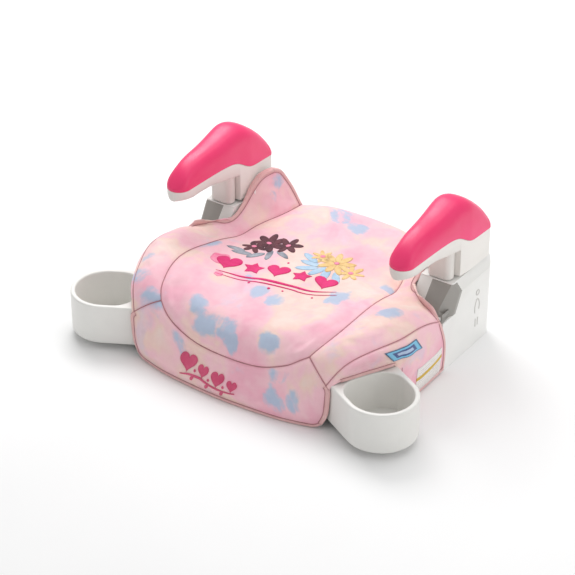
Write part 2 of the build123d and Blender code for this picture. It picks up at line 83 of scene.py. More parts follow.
ARM_TIP_Y, ARM_REAR_Y = -38.5, 158.0
ARM_TIP_R, ARM_CORNER_R = 17.5, 8       # rounding seen from above, at the tip and at the rear corners
ARM_BLOCK_Y = 83.2                      # front face of the block over the pod
ARM_ROUNDING = 2 / 2.45                 # exponent of the cover's section, between an ellipse and a box
ARM_WIDTHS = [(-38.5, 17.3), (-21, 17.5), (19, 20), (81, 24), (104, 26.5), (158, 27.6)]
ARM_TOP = [(-38.5, 188), (-31, 197), (-22, 205.5), (3, 216.7), (38, 221.4), (69, 227.6), (87, 230.2),
           (104, 226), (119, 217), (134, 205), (149, 189), (158, 167)]
ARM_SPLIT = [(-38.5, 184.5), (5, 185.5), (31, 186), (54, 185.6), (79, 181), (91, 174), (104, 167),
             (123, 164.6), (158, 163.4)]
ARM_UNDER = [(-38.5, 170), (-28, 168), (-11, 165), (2, 166), (30, 165), (46, 161.5), (81.5, 155),
             (83, 154), (83.4, 120.6), (84.5, 120), (158, 120)]
NOSE = (175.0, 75.8, 17.5, 9.0, 120.0, 160.0)        # post: centre x, y, half sizes, low and high z
TONGUE = (175.0, 121.0, 14.0, 25.0, 40.0, 122.0)
BUTTON_HOLE = ((164.6, 150.0, 131.6), (185.4, 166.0, 148.4))

GRID_STEP = 4.5             # fabric mesh cell
SEAM_POINTS = 44            # rows of a bolster along the side seam, and again along the wing
BOLSTER_COLS = 14
FRONT_ROWS = 26
SKIRT_ROWS, SKIRT_COLS = 22, 60
SIM_FRAMES = 14             # length of the cloth simulation
SIM_FADE = 14               # over this distance from the bound edges its effect sets in
BAND = 4.6                  # width of the bound edges
SKIRT_BULGE = 6.5           # how far the skirt swells out over the cup holders
FABRIC_T = 3.2              # padded fabric
WING_T = 8.4                # wing with the shell's fin inside
HEM_T = 2.4                 # turned edge inside a binding


def v3(points):
    return np.array(points, float)


# ---- curves and surfaces ------------------------------------------------------------------
def cubic(points):
    """Natural cubic spline through the points; returns a function of 0..1 along the chords."""
    p = v3(points)
    t = np.concatenate([[0], np.cumsum(np.linalg.norm(np.diff(p, axis=0), axis=1))])
    t /= t[-1]
    n, h = len(p), np.diff(t)
    a, b = np.eye(n), np.zeros_like(p)
    for i in range(1, n - 1):
        a[i, i - 1:i + 2] = h[i - 1], 2 * (h[i - 1] + h[i]), h[i]
        b[i] = 6 * ((p[i + 1] - p[i]) / h[i] - (p[i] - p[i - 1]) / h[i - 1])
    m = np.linalg.solve(a, b)

    def at(s):
        s = np.clip(np.atleast_1d(s), 0, 1)
        i = np.clip(np.searchsorted(t, s, side="right") - 1, 0, n - 2)
        u, w, k = (t[i + 1] - s)[:, None], (s - t[i])[:, None], h[i][:, None]
        return ((m[i] * u ** 3 + m[i + 1] * w ** 3) / (6 * k) + (p[i] / k - m[i] * k / 6) * u
                + (p[i + 1] / k - m[i + 1] * k / 6) * w)
    return at


def evened(line, n):
    """n points spaced evenly along a polyline."""
    d = np.concatenate([[0], np.cumsum(np.linalg.norm(np.diff(line, axis=0), axis=1))])
    s = np.linspace(0, d[-1], n)
    return np.stack([np.interp(s, d, line[:, k]) for k in range(line.shape[1])], axis=1)


def curve(points, n):
    return evened(cubic(points)(np.linspace(0, 1, 400)), n)


def length(points):
    return np.linalg.norm(np.diff(cubic(points)(np.linspace(0, 1, 200)), axis=0), axis=1).sum()


def joined(*lines):
    return np.concatenate([lines[0]] + [line[1:] for line in lines[1:]])


def mirror_x(points):
    return v3(points) * (-1, 1, 1)


def coons(front, rear, left, right):
    """Surface between four edges: rows run front to rear, columns left to right."""
    u = np.linspace(0, 1, len(front))[None, :, None]
    v = np.linspace(0, 1, len(left))[:, None, None]
    ruled = (1 - v) * front[None] + v * rear[None] + (1 - u) * left[:, None] + u * right[:, None]
    corners = ((1 - u) * (1 - v) * front[0] + u * (1 - v) * front[-1] + (1 - u) * v * rear[0]
               + u * v * rear[-1])
    return ruled - corners


def normals(grid):
    across, along = np.gradient(grid, axis=1), np.gradient(grid, axis=0)
    n = np.cross(across, along)
    return n / np.maximum(np.linalg.norm(n, axis=2, keepdims=True), 1e-9)


def edges_of(grid, sides):
    """The chosen edges of a panel: f first row, b last row, l and r columns."""
    edges = {"f": grid[0], "b": grid[-1], "l": grid[:, 0], "r": grid[:, -1]}
    return [edges[s] for s in sides]


def distance_to(grid, lines):
    """Distance of each point of a panel from the nearest of some lines."""
    line = np.concatenate(lines)
    flat = grid.reshape(-1, 3)
    near = [np.sqrt(((flat[i:i + 500, None] - line[None]) ** 2).sum(2)).min(1)
            for i in range(0, len(flat), 500)]
    return np.concatenate(near).reshape(grid.shape[:2])


def puffed(grid, lift, reach, crown, seams, bound=()):
    """Padding: rises quickly beside the seams and beyond the bound edges, gently in the middle."""
    d = distance_to(grid, seams)
    if len(bound):
        d = np.minimum(d, np.maximum(distance_to(grid, bound) - BAND, 0))
    rise = lift * (1 - np.exp(-d / reach)) + crown * np.sin(np.clip(d / max(d.max(), 1), 0, 1) * math.pi / 2)
    rise[border_mask(grid)] = 0
    return grid + normals(grid) * rise[..., None]


def border_mask(grid):
    mask = np.zeros(grid.shape[:2], bool)
    mask[[0, -1]] = True
    mask[:, [0, -1]] = True
    return mask


def smoothed(grid, rounds):
    """Evens the cells out, with the edges held."""
    g = grid.copy()
    for _ in range(rounds):
        mean = (g[:-2, 1:-1] + g[2:, 1:-1] + g[1:-1, :-2] + g[1:-1, 2:]) / 4
        g[1:-1, 1:-1] += 0.7 * (mean - g[1:-1, 1:-1])
    return g


# ---- meshes -------------------------------------------------------------------------------
def add_object(name, verts, faces, material=None, uv=None):
    mesh = bpy.data.meshes.new(name)
    mesh.from_pydata([tuple(p) for p in np.asarray(verts) * MM], [], faces)
    mesh.polygons.foreach_set("use_smooth", [True] * len(mesh.polygons))
    if uv is not None:
        layer = mesh.uv_layers.new(name="UVMap")
        loops = np.zeros(len(mesh.loops), int)
        mesh.loops.foreach_get("vertex_index", loops)
        layer.data.foreach_set("uv", (np.asarray(uv) * MM)[loops].astype(np.float32).ravel())
    mesh.update()
    piece = bpy.data.objects.new(name, mesh)
    bpy.context.scene.collection.objects.link(piece)
    if material:
        mesh.materials.append(material)
    return piece


def grid_faces(rows, cols, close_cols=False):
    faces = []
    for i in range(rows - 1):
        for j in range(cols if close_cols else cols - 1):
            k = (j + 1) % cols
            faces.append((i * cols + j, i * cols + k, (i + 1) * cols + k, (i + 1) * cols + j))
    return faces


def tube_faces(rows, ring):
    """Faces of a tube made of closed rings, with a cap at each end."""
    caps = [tuple(range(ring))[::-1], tuple(range((rows - 1) * ring, rows * ring))]
    return grid_faces(rows, ring, close_cols=True) + caps


def closed_skin(top, under):
    """Points and faces of a closed piece between two grids, and the edges round its top."""
    rows, cols = top.shape[:2]
    count = rows * cols
    index = np.arange(count).reshape(rows, cols)
    ring = np.concatenate([index[0], index[1:, -1], index[-1, -2::-1], index[-2:0:-1, 0]]).tolist()
    rim = list(zip(ring, ring[1:] + ring[:1]))
    faces = grid_faces(rows, cols)
    faces += [tuple(count + i for i in reversed(f)) for f in faces]
    faces += [(a, a + count, b + count, b) for a, b in rim]
    return np.concatenate([top.reshape(-1, 3), under.reshape(-1, 3)]), faces, rim


def grid_uv(grid):
    across = np.linalg.norm(np.diff(grid, axis=1), axis=2).mean(0)
    along = np.linalg.norm(np.diff(grid, axis=0), axis=2).mean(1)
    u = np.concatenate([[0], np.cumsum(across)])
    v = np.concatenate([[0], np.cumsum(along)])
    return np.stack(np.meshgrid(u, v), axis=2).reshape(-1, 2)


def draped(grid, pressure, cap):
    """Cloth simulation: the panel's edges stay sewn down while light pressure fills it.

    No point moves further than the cap.
    """
    rows, cols = grid.shape[:2]
    piece = add_object("panel_sim", grid.reshape(-1, 3), grid_faces(rows, cols))
    group = piece.vertex_groups.new(name="sewn")
    held = np.flatnonzero(border_mask(grid).ravel())
    group.add([int(i) for i in held], 1.0, "REPLACE")
    cloth = piece.modifiers.new("cloth", "CLOTH")
    settings = cloth.settings
    for key, value in (("quality", 6), ("mass", 0.25), ("tension_stiffness", 12),
                       ("compression_stiffness", 12), ("shear_stiffness", 6), ("bending_stiffness", 0.6),
                       ("use_pressure", True), ("uniform_pressure_force", pressure),
                       ("shrink_min", -0.012), ("vertex_group_mass", "sewn")):
        setattr(settings, key, value)
    settings.effector_weights.gravity = 0
    cloth.collision_settings.use_collision = False
    scene = bpy.context.scene
    for step in range(1, SIM_FRAMES + 1):
        scene.frame_set(step)
    shown = piece.evaluated_get(bpy.context.evaluated_depsgraph_get())
    moved = np.zeros(rows * cols * 3, np.float32)
    shown.data.vertices.foreach_get("co", moved)
    shift = moved.reshape(grid.shape) / MM - grid
    far = np.linalg.norm(shift, axis=2, keepdims=True)
    bpy.data.objects.remove(piece)
    scene.frame_set(1)
    free = np.clip((distance_to(grid, edges_of(grid, "fblr")) - BAND) / SIM_FADE, 0, 1)[..., None]
    return grid + shift * np.minimum(1, cap / np.maximum(far, 1e-6)) * free ** 2 * (3 - 2 * free)


def padded_panel(name, grid, thickness, material, nodes):
    """Closed padded piece: the panel's face, its back and the turned edges between them."""
    under = grid - normals(grid) * (thickness[..., None] if np.ndim(thickness) else thickness)
    verts, faces, rim = closed_skin(grid, under)
    uv = grid_uv(grid)
    piece = add_object(name, verts, faces, material, uv=np.concatenate([uv, uv]))
    crease = piece.data.attributes.new("crease_edge", "FLOAT", "EDGE")
    sewn = {frozenset(pair) for pair in rim}
    sewn |= {frozenset((a + len(uv), b + len(uv))) for a, b in rim}
    sharp = [1.0 if frozenset(e.vertices) in sewn else 0.0 for e in piece.data.edges]
    crease.data.foreach_set("value", sharp)
    piece.modifiers.new("fine", "SUBSURF").levels = 1
    piece.modifiers["fine"].render_levels = 1
    fix_normals(piece)
    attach(piece, "base")
    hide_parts(*nodes)
    return piece


def fix_normals(piece):
    bm = bmesh.new()
    bm.from_mesh(piece.data)
    bmesh.ops.recalc_face_normals(bm, faces=bm.faces)
    bm.to_mesh(piece.data)
    bm.free()


def swept(name, line, wide, thick, side, up, material, closed=False, ring=10):
    """Flattened tube along a line; side and up are the section's directions at each point."""
    angle = np.linspace(0, 2 * math.pi, ring, endpoint=False)
    section = (side[:, None] * (wide / 2 * np.cos(angle))[None, :, None]
               + up[:, None] * (thick / 2 * np.sin(angle))[None, :, None])
    verts = (line[:, None] + section).reshape(-1, 3)
    rows = len(line)
    if closed:
        last = (rows - 1) * ring
        faces = grid_faces(rows, ring, close_cols=True)
        faces += [(last + j, last + (j + 1) % ring, (j + 1) % ring, j) for j in range(ring)]
    else:
        faces = tube_faces(rows, ring)
    piece = add_object(name, verts, faces, material)
    fix_normals(piece)
    return piece


def power(value, exponent):
    return np.sign(value) * np.abs(value) ** exponent


def along(line):
    t = np.gradient(line, axis=0)
    return t / np.linalg.norm(t, axis=1, keepdims=True)


def edge_frame(grid, side):
    """Points, inward direction and outward normal along one edge of a panel."""
    n = normals(grid)
    pick = {"f": (grid[0], grid[2], n[1:6]), "b": (grid[-1], grid[-3], n[-6:-1]),
            "l": (grid[:, 0], grid[:, 2], n[:, 1:6].swapaxes(0, 1)),
            "r": (grid[:, -1], grid[:, -3], n[:, -6:-1].swapaxes(0, 1))}
    line, inner, near = pick[side]
    near = near.mean(0)
    wide = np.concatenate([near[:1].repeat(4, 0), near, near[-1:].repeat(4, 0)])
    even = sum(wide[k:k + len(near)] for k in range(9))
    inward = np.cross(even, along(line))
    inward /= np.maximum(np.linalg.norm(inward, axis=1, keepdims=True), 1e-9)
    inward *= np.sign((inward * (inner - line)).sum())
    up = np.cross(along(line), inward)
    up *= np.sign((up * near).sum())
    return line, inward, up


# ---- materials ----------------------------------------------------------------------------
def srgb(r, g, b):
    return tuple((c / 255 / 12.92) if c / 255 <= 0.04045 else ((c / 255 + 0.055) / 1.055) ** 2.4
                 for c in (r, g, b)) + (1.0,)


class Shader:
    """A material's node tree with short calls."""

    def __init__(self, name, **sockets):
        self.material = bpy.data.materials.new(name)
        self.material.use_nodes = True
        self.tree = self.material.node_tree
        self.bsdf = self.tree.nodes["Principled BSDF"]
        for key, value in sockets.items():
            self.bsdf.inputs[key.replace("_", " ")].default_value = value
        coords = self.tree.nodes.new("ShaderNodeTexCoord")
        self.place, self.uv = coords.outputs["Object"], coords.outputs["UV"]

    def add(self, kind, output, inputs=(), **props):
        node = self.tree.nodes.new("ShaderNode" + kind)
        for key, value in props.items():
            setattr(node, key, value)
        for key, value in dict(inputs).items():
            if isinstance(value, bpy.types.NodeSocket):
                self.tree.links.new(value, node.inputs[key])
            else:
                node.inputs[key].default_value = value
        return node.outputs[output]

    def noise(self, scale, detail=3.0, rough=0.5, place=None, output="Fac"):
        return self.add("TexNoise", output, {"Vector": place or self.place, "Scale": scale,
                                             "Detail": detail, "Roughness": rough})

    def vector(self, operation, a, b):
        return self.add("VectorMath", "Vector", {0: a, 1: b}, operation=operation)

    def uv_parts(self):
        split = self.tree.nodes.new("ShaderNodeSeparateXYZ")
        self.tree.links.new(self.uv, split.inputs[0])
        return split.outputs[0], split.outputs[1]

    def ramp(self, value, stops):
        node = self.tree.nodes.new("ShaderNodeValToRGB")
        ramp = node.color_ramp
        while len(ramp.elements) < len(stops):
            ramp.elements.new(0.5)
        for element, (at, colour) in zip(ramp.elements, stops):
            element.position, element.color = at, colour
        self.tree.links.new(value, node.inputs[0])
        return node.outputs[0]

    def range(self, value, low, high, to_low=0.0, to_high=1.0):
        return self.add("MapRange", 0, {0: value, 1: low, 2: high, 3: to_low, 4: to_high},
                        interpolation_type="SMOOTHSTEP")

    def mix(self, factor, a, b, blend="MIX"):
        return self.add("MixRGB", 0, {0: factor, 1: a, 2: b}, blend_type=blend)

    def maths(self, operation, a, b=0.0):
        return self.add("Math", 0, {0: a, 1: b}, operation=operation)

    def bump(self, height, strength, distance, under=None):
        inputs = {"Height": height, "Strength": strength, "Distance": distance}
        if under:
            inputs["Normal"] = under
        return self.add("Bump", 0, inputs)

    def finished(self, colour, bump=None, rough=None):
        """Links what the surface is made of and returns the material."""
        for value, socket in ((colour, "Base Color"), (bump, "Normal"), (rough, "Roughness")):
            if value is not None:
                self.tree.links.new(value, self.bsdf.inputs[socket])
        return self.material


PEACH, CREAM = srgb(247, 211, 200), srgb(246, 222, 212)
PINK, ROSE = srgb(250, 199, 210), srgb(247, 178, 198)
BLUE, LILAC = srgb(168, 196, 224), srgb(220, 206, 226)
# Blue patches in the fabric: x, y, z and radius
SEAT_SPOTS = [(-40, -150, 86, 30), (-12, -146, 88, 27), (6, -160, 74, 20), (-24, -168, 74, 18),
              (66, -146, 86, 20), (-137, -14, 104, 24), (-40, -62, 100, 20), (-12, -68, 100, 20),
              (16, -74, 100, 20), (92, -30, 102, 26), (80, -46, 100, 16), (-26, 150, 100, 30),
              (14, 134, 99, 22), (-60, -128, 92, 20), (118, 40, 104, 18)]
BODY_SPOTS = [(164, -34, 113, 22), (89, -172, 62, 26), (80, -176, 36, 22), (112, -170, 40, 18),
              (-76, -168, 52, 20), (-122, -150, 76, 24), (-124, 138, 132, 16), (-126, 120, 118, 14),
              (-165, -96, 108, 20), (-158, -128, 96, 20), (150, -150, 60, 14), (150, 60, 128, 14)]


def fabric(name, spots, warmth=0.0):
    """Woven fabric printed with soft washes of peach, pink and blue."""
    s = Shader(name, Roughness=0.78, Sheen_Weight=0.18, Sheen_Roughness=0.5, Specular_IOR_Level=0.25)
    bent = s.vector("SUBTRACT", s.noise(9.0, 2.0, output="Color"), (0.5, 0.5, 0.5))
    bent = s.add("VectorMath", "Vector", {0: bent, "Scale": 0.055}, operation="SCALE")
    place = s.vector("ADD", s.place, bent)
    pinks = s.ramp(s.noise(15.0, 3.0, 0.55, place),
                   [(0.34, CREAM), (0.44, PEACH), (0.52, PINK), (0.66, ROSE)])
    rosy_place = s.vector("ADD", place, (3.1, 1.7, 0.4))
    rosy = s.range(s.noise(21.0, 2.0, 0.5, rosy_place), 0.5 - warmth, 0.66)
    colour = s.mix(s.maths("MULTIPLY", rosy, 0.7), pinks, PINK)
    lilac_place = s.vector("ADD", place, (7.0, 2.0, 5.0))
    lilac = s.range(s.noise(17.0, 3.0, 0.6, lilac_place), 0.58, 0.70)
    colour = s.mix(s.maths("MULTIPLY", lilac, 0.55), colour, LILAC)
    cloud = s.range(s.noise(36.0, 3.0, 0.55, place), 0.25, 0.75, -0.6, 0.6)
    mask = None
    for x, y, z, radius in spots:
        centre = (x * MM, y * MM, z * MM)
        gap = s.add("VectorMath", "Value", {0: place, 1: centre}, operation="DISTANCE")
        near = s.range(gap, radius * 1.15 * MM, radius * 0.3 * MM)
        mask = near if mask is None else s.maths("MAXIMUM", mask, near)
    ragged = s.range(s.maths("ADD", mask, cloud), 0.30, 1.0)
    colour = s.mix(s.maths("MULTIPLY", ragged, s.range(mask, 0.0, 0.3, 0.0, 0.92)), colour, BLUE)
    fleck = s.noise(140.0, 3.0, 0.6)
    colour = s.mix(0.10, colour, s.ramp(fleck, [(0.3, srgb(225, 180, 188)), (0.7, srgb(255, 236, 232))]))
    threads = [s.add("TexWave", "Fac", {"Vector": s.uv, "Scale": 420.0, "Distortion": 1.2, "Detail": 1.0},
                     wave_type="BANDS", bands_direction=axis) for axis in "XY"]
    weave = s.maths("MAXIMUM", *threads)
    colour = s.mix(s.range(weave, 0.1, 0.9, 0.0, 0.05), colour, srgb(255, 240, 238))
    puckers = s.bump(s.noise(55.0, 2.0, 0.5), 0.25, 0.0022)
    return s.finished(colour, s.bump(weave, 0.3, 0.00025, puckers), s.range(fleck, 0.3, 0.7, 0.72, 0.86))


def plain_fabric(name, colour, light, scale=420.0, rough=0.7):
    """Narrow woven tape, thread, painted seam shade or foam in one hue."""
    s = Shader(name, Sheen_Weight=0.2, Sheen_Roughness=0.5, Specular_IOR_Level=0.25)
    cloud = s.noise(60.0, 3.0, 0.6)
    ribs = s.noise(scale * 2.5, 2.0, 0.5)
    base = s.ramp(cloud, [(0.3, colour), (0.7, light)])
    return s.finished(s.mix(s.range(ribs, 0.4, 0.6, 0.0, 0.18), base, light), s.bump(ribs, 0.35, 0.0003),
                      s.range(cloud, 0.3, 0.7, rough, rough + 0.12))


def plastic(name, colour, shade, rough=0.35, grain=0.0, metal=0.0):
    """Moulded plastic, or metal: faint mottling, fine spark grain and convex edges lightened as a painted
    highlight.
    """
    s = Shader(name, Specular_IOR_Level=0.45, Metallic=metal)
    base = s.ramp(s.noise(11.0, 4.0, 0.55), [(0.35, colour), (0.68, shade)])
    # Convex edges, found from pointiness, are lightened towards white: a painted highlight.
    edge = s.range(s.add("NewGeometry", "Pointiness"), 0.52, 0.60, 0.0, 0.35)
    edge_highlight = tuple(min(1.0, c * 1.25) for c in colour[:3]) + (1.0,)
    return s.finished(s.mix(edge, base, edge_highlight), s.bump(s.noise(900.0, 2.0, 0.6), 0.05 + grain, 0.0002),
                      s.range(s.noise(40.0, 4.0, 0.6), 0.3, 0.7, rough - 0.04, rough + 0.07))


WHITE = plastic("white_plastic", srgb(238, 237, 233), srgb(230, 229, 225), 0.38)
ARM_WHITE = plastic("arm_white", srgb(233, 229, 224), srgb(226, 221, 216), 0.40)
# Darker grey for the relief ridges: painted shade, since the ridges are moulded in the pod's own white
# plastic.
RELIEF_SHADE = plastic("relief_painted_shade", srgb(208, 206, 202), srgb(200, 198, 194), 0.4)
GREY = plastic("grey_trim", srgb(160, 157, 152), srgb(148, 145, 140), 0.33, 0.05)
HOT_PINK = plastic("pink_cover", srgb(246, 62, 120), srgb(240, 54, 110), 0.34, 0.05)
STEEL = plastic("steel", srgb(176, 178, 182), srgb(150, 152, 156), 0.28, metal=1.0)
SEAT_FABRIC = fabric("seat_fabric", SEAT_SPOTS)
SIDE_FABRIC = fabric("side_fabric", BODY_SPOTS, warmth=0.03)
BINDING = plain_fabric("binding_tape", srgb(224, 176, 176), srgb(236, 194, 192))
# Dark rose: in the seam valleys between panels it is painted shade, and beside the bindings it is the
# stitching thread.
SEAM_SHADE_AND_THREAD = plain_fabric("seam_shade_and_thread", srgb(176, 118, 126), srgb(196, 142, 148))
FOAM = plain_fabric("foam", srgb(228, 222, 205), srgb(240, 236, 222), 120.0, 0.85)


# ---- cover --------------------------------------------------------------------------------
def wall_point(s):
    """Plan position at distance s along the slanted wall and then the side wall."""
    s = np.asarray(s, float)
    corner = np.stack([CORNER_START[0] + s * CORNER_DIR[0], CORNER_START[1] + s * CORNER_DIR[1]], -1)
    side_y = CORNER_START[1] + (s - CORNER_LENGTH) + CORNER_DEPTH
    side = np.stack([np.full_like(s, SIDE_WALL_X), side_y], -1)
    w = np.clip((s - (CORNER_LENGTH - CORNER_BEND)) / (2 * CORNER_BEND), 0, 1)
    w = (w * w * (3 - 2 * w))[..., None]
    return corner * (1 - w) + side * w


def wall_distance(y):
    """Distance along the walls of a place on the side wall."""
    return y - CORNER_START[1] - CORNER_DEPTH + CORNER_LENGTH


def mirrored(half):
    """An edge over the full width, from its right-hand half."""
    return joined(mirror_x(half[::-1]), half)


def make_seat(half_front):
    """Centre panel, crowned in the middle, with its rear end rolled down over the shell."""
    cols = 2 * len(half_front) - 1
    rows = int(length(SEAT_SIDE) / GRID_STEP) + 1
    rear = mirrored(curve(SEAT_REAR[::-1], len(half_front)))
    side = curve(SEAT_SIDE, rows)
    seat = smoothed(coons(mirrored(half_front), rear, mirror_x(side), side), 12)
    u = np.abs(np.linspace(-1, 1, cols))
    middle = curve(SEAT_MIDDLE, rows)
    seat += (1 - u ** 2.6)[None, :, None] * (middle - seat[:, cols // 2])[:, None]
    seat = smoothed(seat, 4)
    seat = puffed(seat, 2.6, 6.0, 1.0, edges_of(seat, "flr"))
    seat = draped(seat, 0.9, 3.0)
    rolled = [seat]
    out = np.stack([rear[:, 0] * 0.0012, np.ones(cols), np.zeros(cols)], 1)
    for step_out, drop in REAR_ROLL[1:]:
        row = seat[-1] + out * step_out
        row[:, 2] = seat[-1, :, 2] + drop
        rolled.append(row[None])
    return np.concatenate(rolled)


def make_front(half_front, edge):
    """Front panel, from the seat's front seam down to the hem."""
    top = joined(mirror_x(edge[::-1]), mirrored(half_front), edge)
    hem = curve([tuple(p) for p in mirror_x(FRONT_HEM[:0:-1])] + FRONT_HEM, len(top))
    end = curve(FRONT_END, FRONT_ROWS)
    panel = smoothed(coons(top, hem, mirror_x(end), end)[:, ::-1], 6)
    panel = puffed(panel, 2.6, 5.0, 3.0, edges_of(panel, "f"), edges_of(panel, "lrb"))
    return draped(panel, 0.6, 3.0)


def make_bolster(edge):
    """Right-hand bolster, which runs up into the wing, with a crest along its front part."""
    outer = joined(curve(SIDE_SEAM, SEAM_POINTS), curve(WING_SIDE, SEAM_POINTS))
    inner = curve(SEAT_SIDE, len(outer))
    peak = curve(WING_REAR[::-1], BOLSTER_COLS)
    bolster = smoothed(coons(edge, peak, inner, outer), 10)
    sewn, bound = [edge, inner, outer[:SEAM_POINTS]], [outer[SEAM_POINTS:], peak]
    bolster = puffed(bolster, 2.6, 5.0, 0.0, sewn, bound)
    v = np.linspace(0, 1, len(outer))[:, None]
    w = np.linspace(0, 1, BOLSTER_COLS)[None, :]
    crest = 5.5 * np.sin(np.pi * w) * np.clip((0.62 - v) / 0.3, 0, 1) * np.clip(v / 0.12, 0, 1)
    bolster = bolster + normals(bolster) * crest[..., None]
    return draped(refined(bolster), 0.7, 3.0)


def make_skirt():
    """Right-hand skirt: laid out flat along the walls, then swelled over the cup opening."""
    top = curve(SIDE_SEAM, SKIRT_COLS)
    bottom = evened(v3(OPENING), SKIRT_COLS)
    on_corner = top[:, 1] < CORNER_START[1] + CORNER_DEPTH
    top_s = np.where(on_corner, (top[:, 1] - CORNER_START[1]) / CORNER_DIR[1], wall_distance(top[:, 1]))
    top_sz = np.stack([np.maximum(top_s, 0), top[:, 2]], 1)
    rear_edge = curve(SKIRT_REAR, SKIRT_ROWS)
    rear_sz = np.stack([wall_distance(rear_edge[:, 1]), rear_edge[:, 2]], 1)
    start_sz = np.linspace(top_sz[0], bottom[0], SKIRT_ROWS)
    bottom[-1] = rear_sz[-1]
    top_sz[-1] = rear_sz[0]
    flat = [np.column_stack([c, np.zeros(len(c))]) for c in (top_sz, bottom, start_sz, rear_sz)]
    sz = smoothed(coons(*flat), 8)[..., :2]
    skirt = np.dstack([wall_point(sz[..., 0]), sz[..., 1]])
    fade = (1 - np.linspace(0, 1, SKIRT_ROWS)) ** 2
    skirt += fade[:, None, None] * (top - skirt[0])[None]
    past_cup = np.clip((sz[..., 0] - 70) / 60, 0, 1)
    full = SKIRT_BULGE * (1 - past_cup * 0.7) * np.clip(sz[..., 1] / 55, 0.2, 1)
    swell = full * (1 - np.exp(-distance_to(skirt, [top]) / 4.0))
    outward = normals(skirt[:, ::-1])[:, ::-1] * (1, 1, 0)
    skirt += outward * swell[..., None]
    skirt = puffed(skirt[:, ::-1], 1.4, 4.0, 1.0, [top], edges_of(skirt, "lrb"))
    return draped(skirt, 0.5, 2.0)


def refined(grid):
    """Twice as many columns, for narrow panels."""
    u = np.linspace(0, 1, 2 * grid.shape[1] - 1)
    return np.stack([cubic(row)(u) for row in grid])


def flip(grid):
    """Mirror image in X with the surface still facing outwards."""
    return (grid * (-1, 1, 1))[:, ::-1]


def upward(grid, direction):
    """The grid with its normals facing the given direction."""
    mean = normals(grid).reshape(-1, 3).mean(0)
    return grid if mean @ np.array(direction, float) > 0 else grid[:, ::-1]


def wing_thickness(grid):
    """Thin over the bolster, thicker to the rear of the wing, where the shell's fin is inside."""
    thin_y, thick_y = 84, 100
    back = np.clip((grid[..., 1] - thin_y) / (thick_y - thin_y), 0, 1)
    return FABRIC_T - 0.4 + (WING_T - FABRIC_T) * back * back * (3 - 2 * back)


half_cols = int(2 * length(SEAT_FRONT) / GRID_STEP) // 2 + 1
front_seam, bolster_front = curve(SEAT_FRONT, half_cols), curve(BOLSTER_FRONT, BOLSTER_COLS)
panels = {"seat": upward(make_seat(front_seam), (0, 0, 1)),
          "front": upward(make_front(front_seam, bolster_front), (0, -1, 0.3)),
          "bolster": upward(make_bolster(bolster_front), (-0.3, 0, 1)),
          "skirt": upward(make_skirt(), (1, -0.3, 0))}
padded_panel("seat_cushion", panels["seat"], FABRIC_T, SEAT_FABRIC, ["cover_centre_panel"])
padded_panel("front_cushion", panels["front"], FABRIC_T, SIDE_FABRIC, ["cover_front_panel"])
for side_name, sign in SIDES:
    bolster_grid = panels["bolster"] if sign > 0 else flip(panels["bolster"])
    skirt_grid = panels["skirt"] if sign > 0 else flip(panels["skirt"])
    padded_panel(f"{side_name}_bolster", bolster_grid, wing_thickness(bolster_grid), SIDE_FABRIC,
                 [f"cover_{side_name}_bolster", f"cover_{side_name}_wing"])
    padded_panel(f"{side_name}_skirt", skirt_grid, 2.6, SIDE_FABRIC, [f"cover_{side_name}_skirt"])


def laid_on(grid, points, up):
    """Nearest places on a panel and the panel's normals there."""
    rows, cols = grid.shape[:2]
    tree = BVHTree.FromPolygons(grid.reshape(-1, 3).tolist(), grid_faces(rows, cols))
    found = [tree.find_nearest(p)[:2] for p in points.tolist()]
    place, normal = (np.array([tuple(f[k]) for f in found]) for k in (0, 1))
    return place, normal * np.where((normal * up).sum(1, keepdims=True) < 0, -1.0, 1.0)


def edge_roll(name, grid, side, thickness=HEM_T, part=(0.0, 1.0), width=BAND + 1.6, ring=18):
    """Bound edge that wraps a panel's side, with the stitching along its inner border."""
    overhang, proud, squareness = 1.2, 0.9, 0.7
    line, inward, up = edge_frame(grid, side)
    keep = slice(int(part[0] * (len(line) - 1)), int(part[1] * (len(line) - 1)) + 1)
    thick = np.broadcast_to(thickness, len(line))[keep, None]
    line, inward, up = line[keep], inward[keep], up[keep]
    sections = []
    for a in np.linspace(0, 2 * math.pi, ring, endpoint=False):
        across = width / 2 - overhang + width / 2 * power(np.cos(a), squareness)
        place, normal = laid_on(grid, line + inward * max(across, 0), up)
        sections.append(place + inward * min(across, 0)
                        + normal * (-thick / 2 + (thick / 2 + proud) * power(np.sin(a), squareness)))
    verts = np.stack(sections, 1).reshape(-1, 3)
    piece = add_object(name, verts, tube_faces(len(line), ring), BINDING)
    fix_normals(piece)
    cover_trim(piece)
    place, normal = laid_on(grid, line + inward * (width - 1.1), up)
    seam(f"{name}_stitch", place + normal * 0.25, normal, 0.42)


def cover_trim(piece):
    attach(piece, "base")
    return piece


def seam(name, line, up, radius=0.65):
    """Thin dark line along a seam, lying in the valley between two panels, where its dark colour is painted
    shade; beside a binding it is the stitching.
    """
    side = np.cross(along(line), up)
    side /= np.maximum(np.linalg.norm(side, axis=1, keepdims=True), 1e-9)
    return cover_trim(swept(name, line + up * 0.35, 2 * radius, 2 * radius, side, up, SEAM_SHADE_AND_THREAD, ring=8))


def panel_edge(grid, side):
    line, _, up = edge_frame(grid, side)
    return line, up


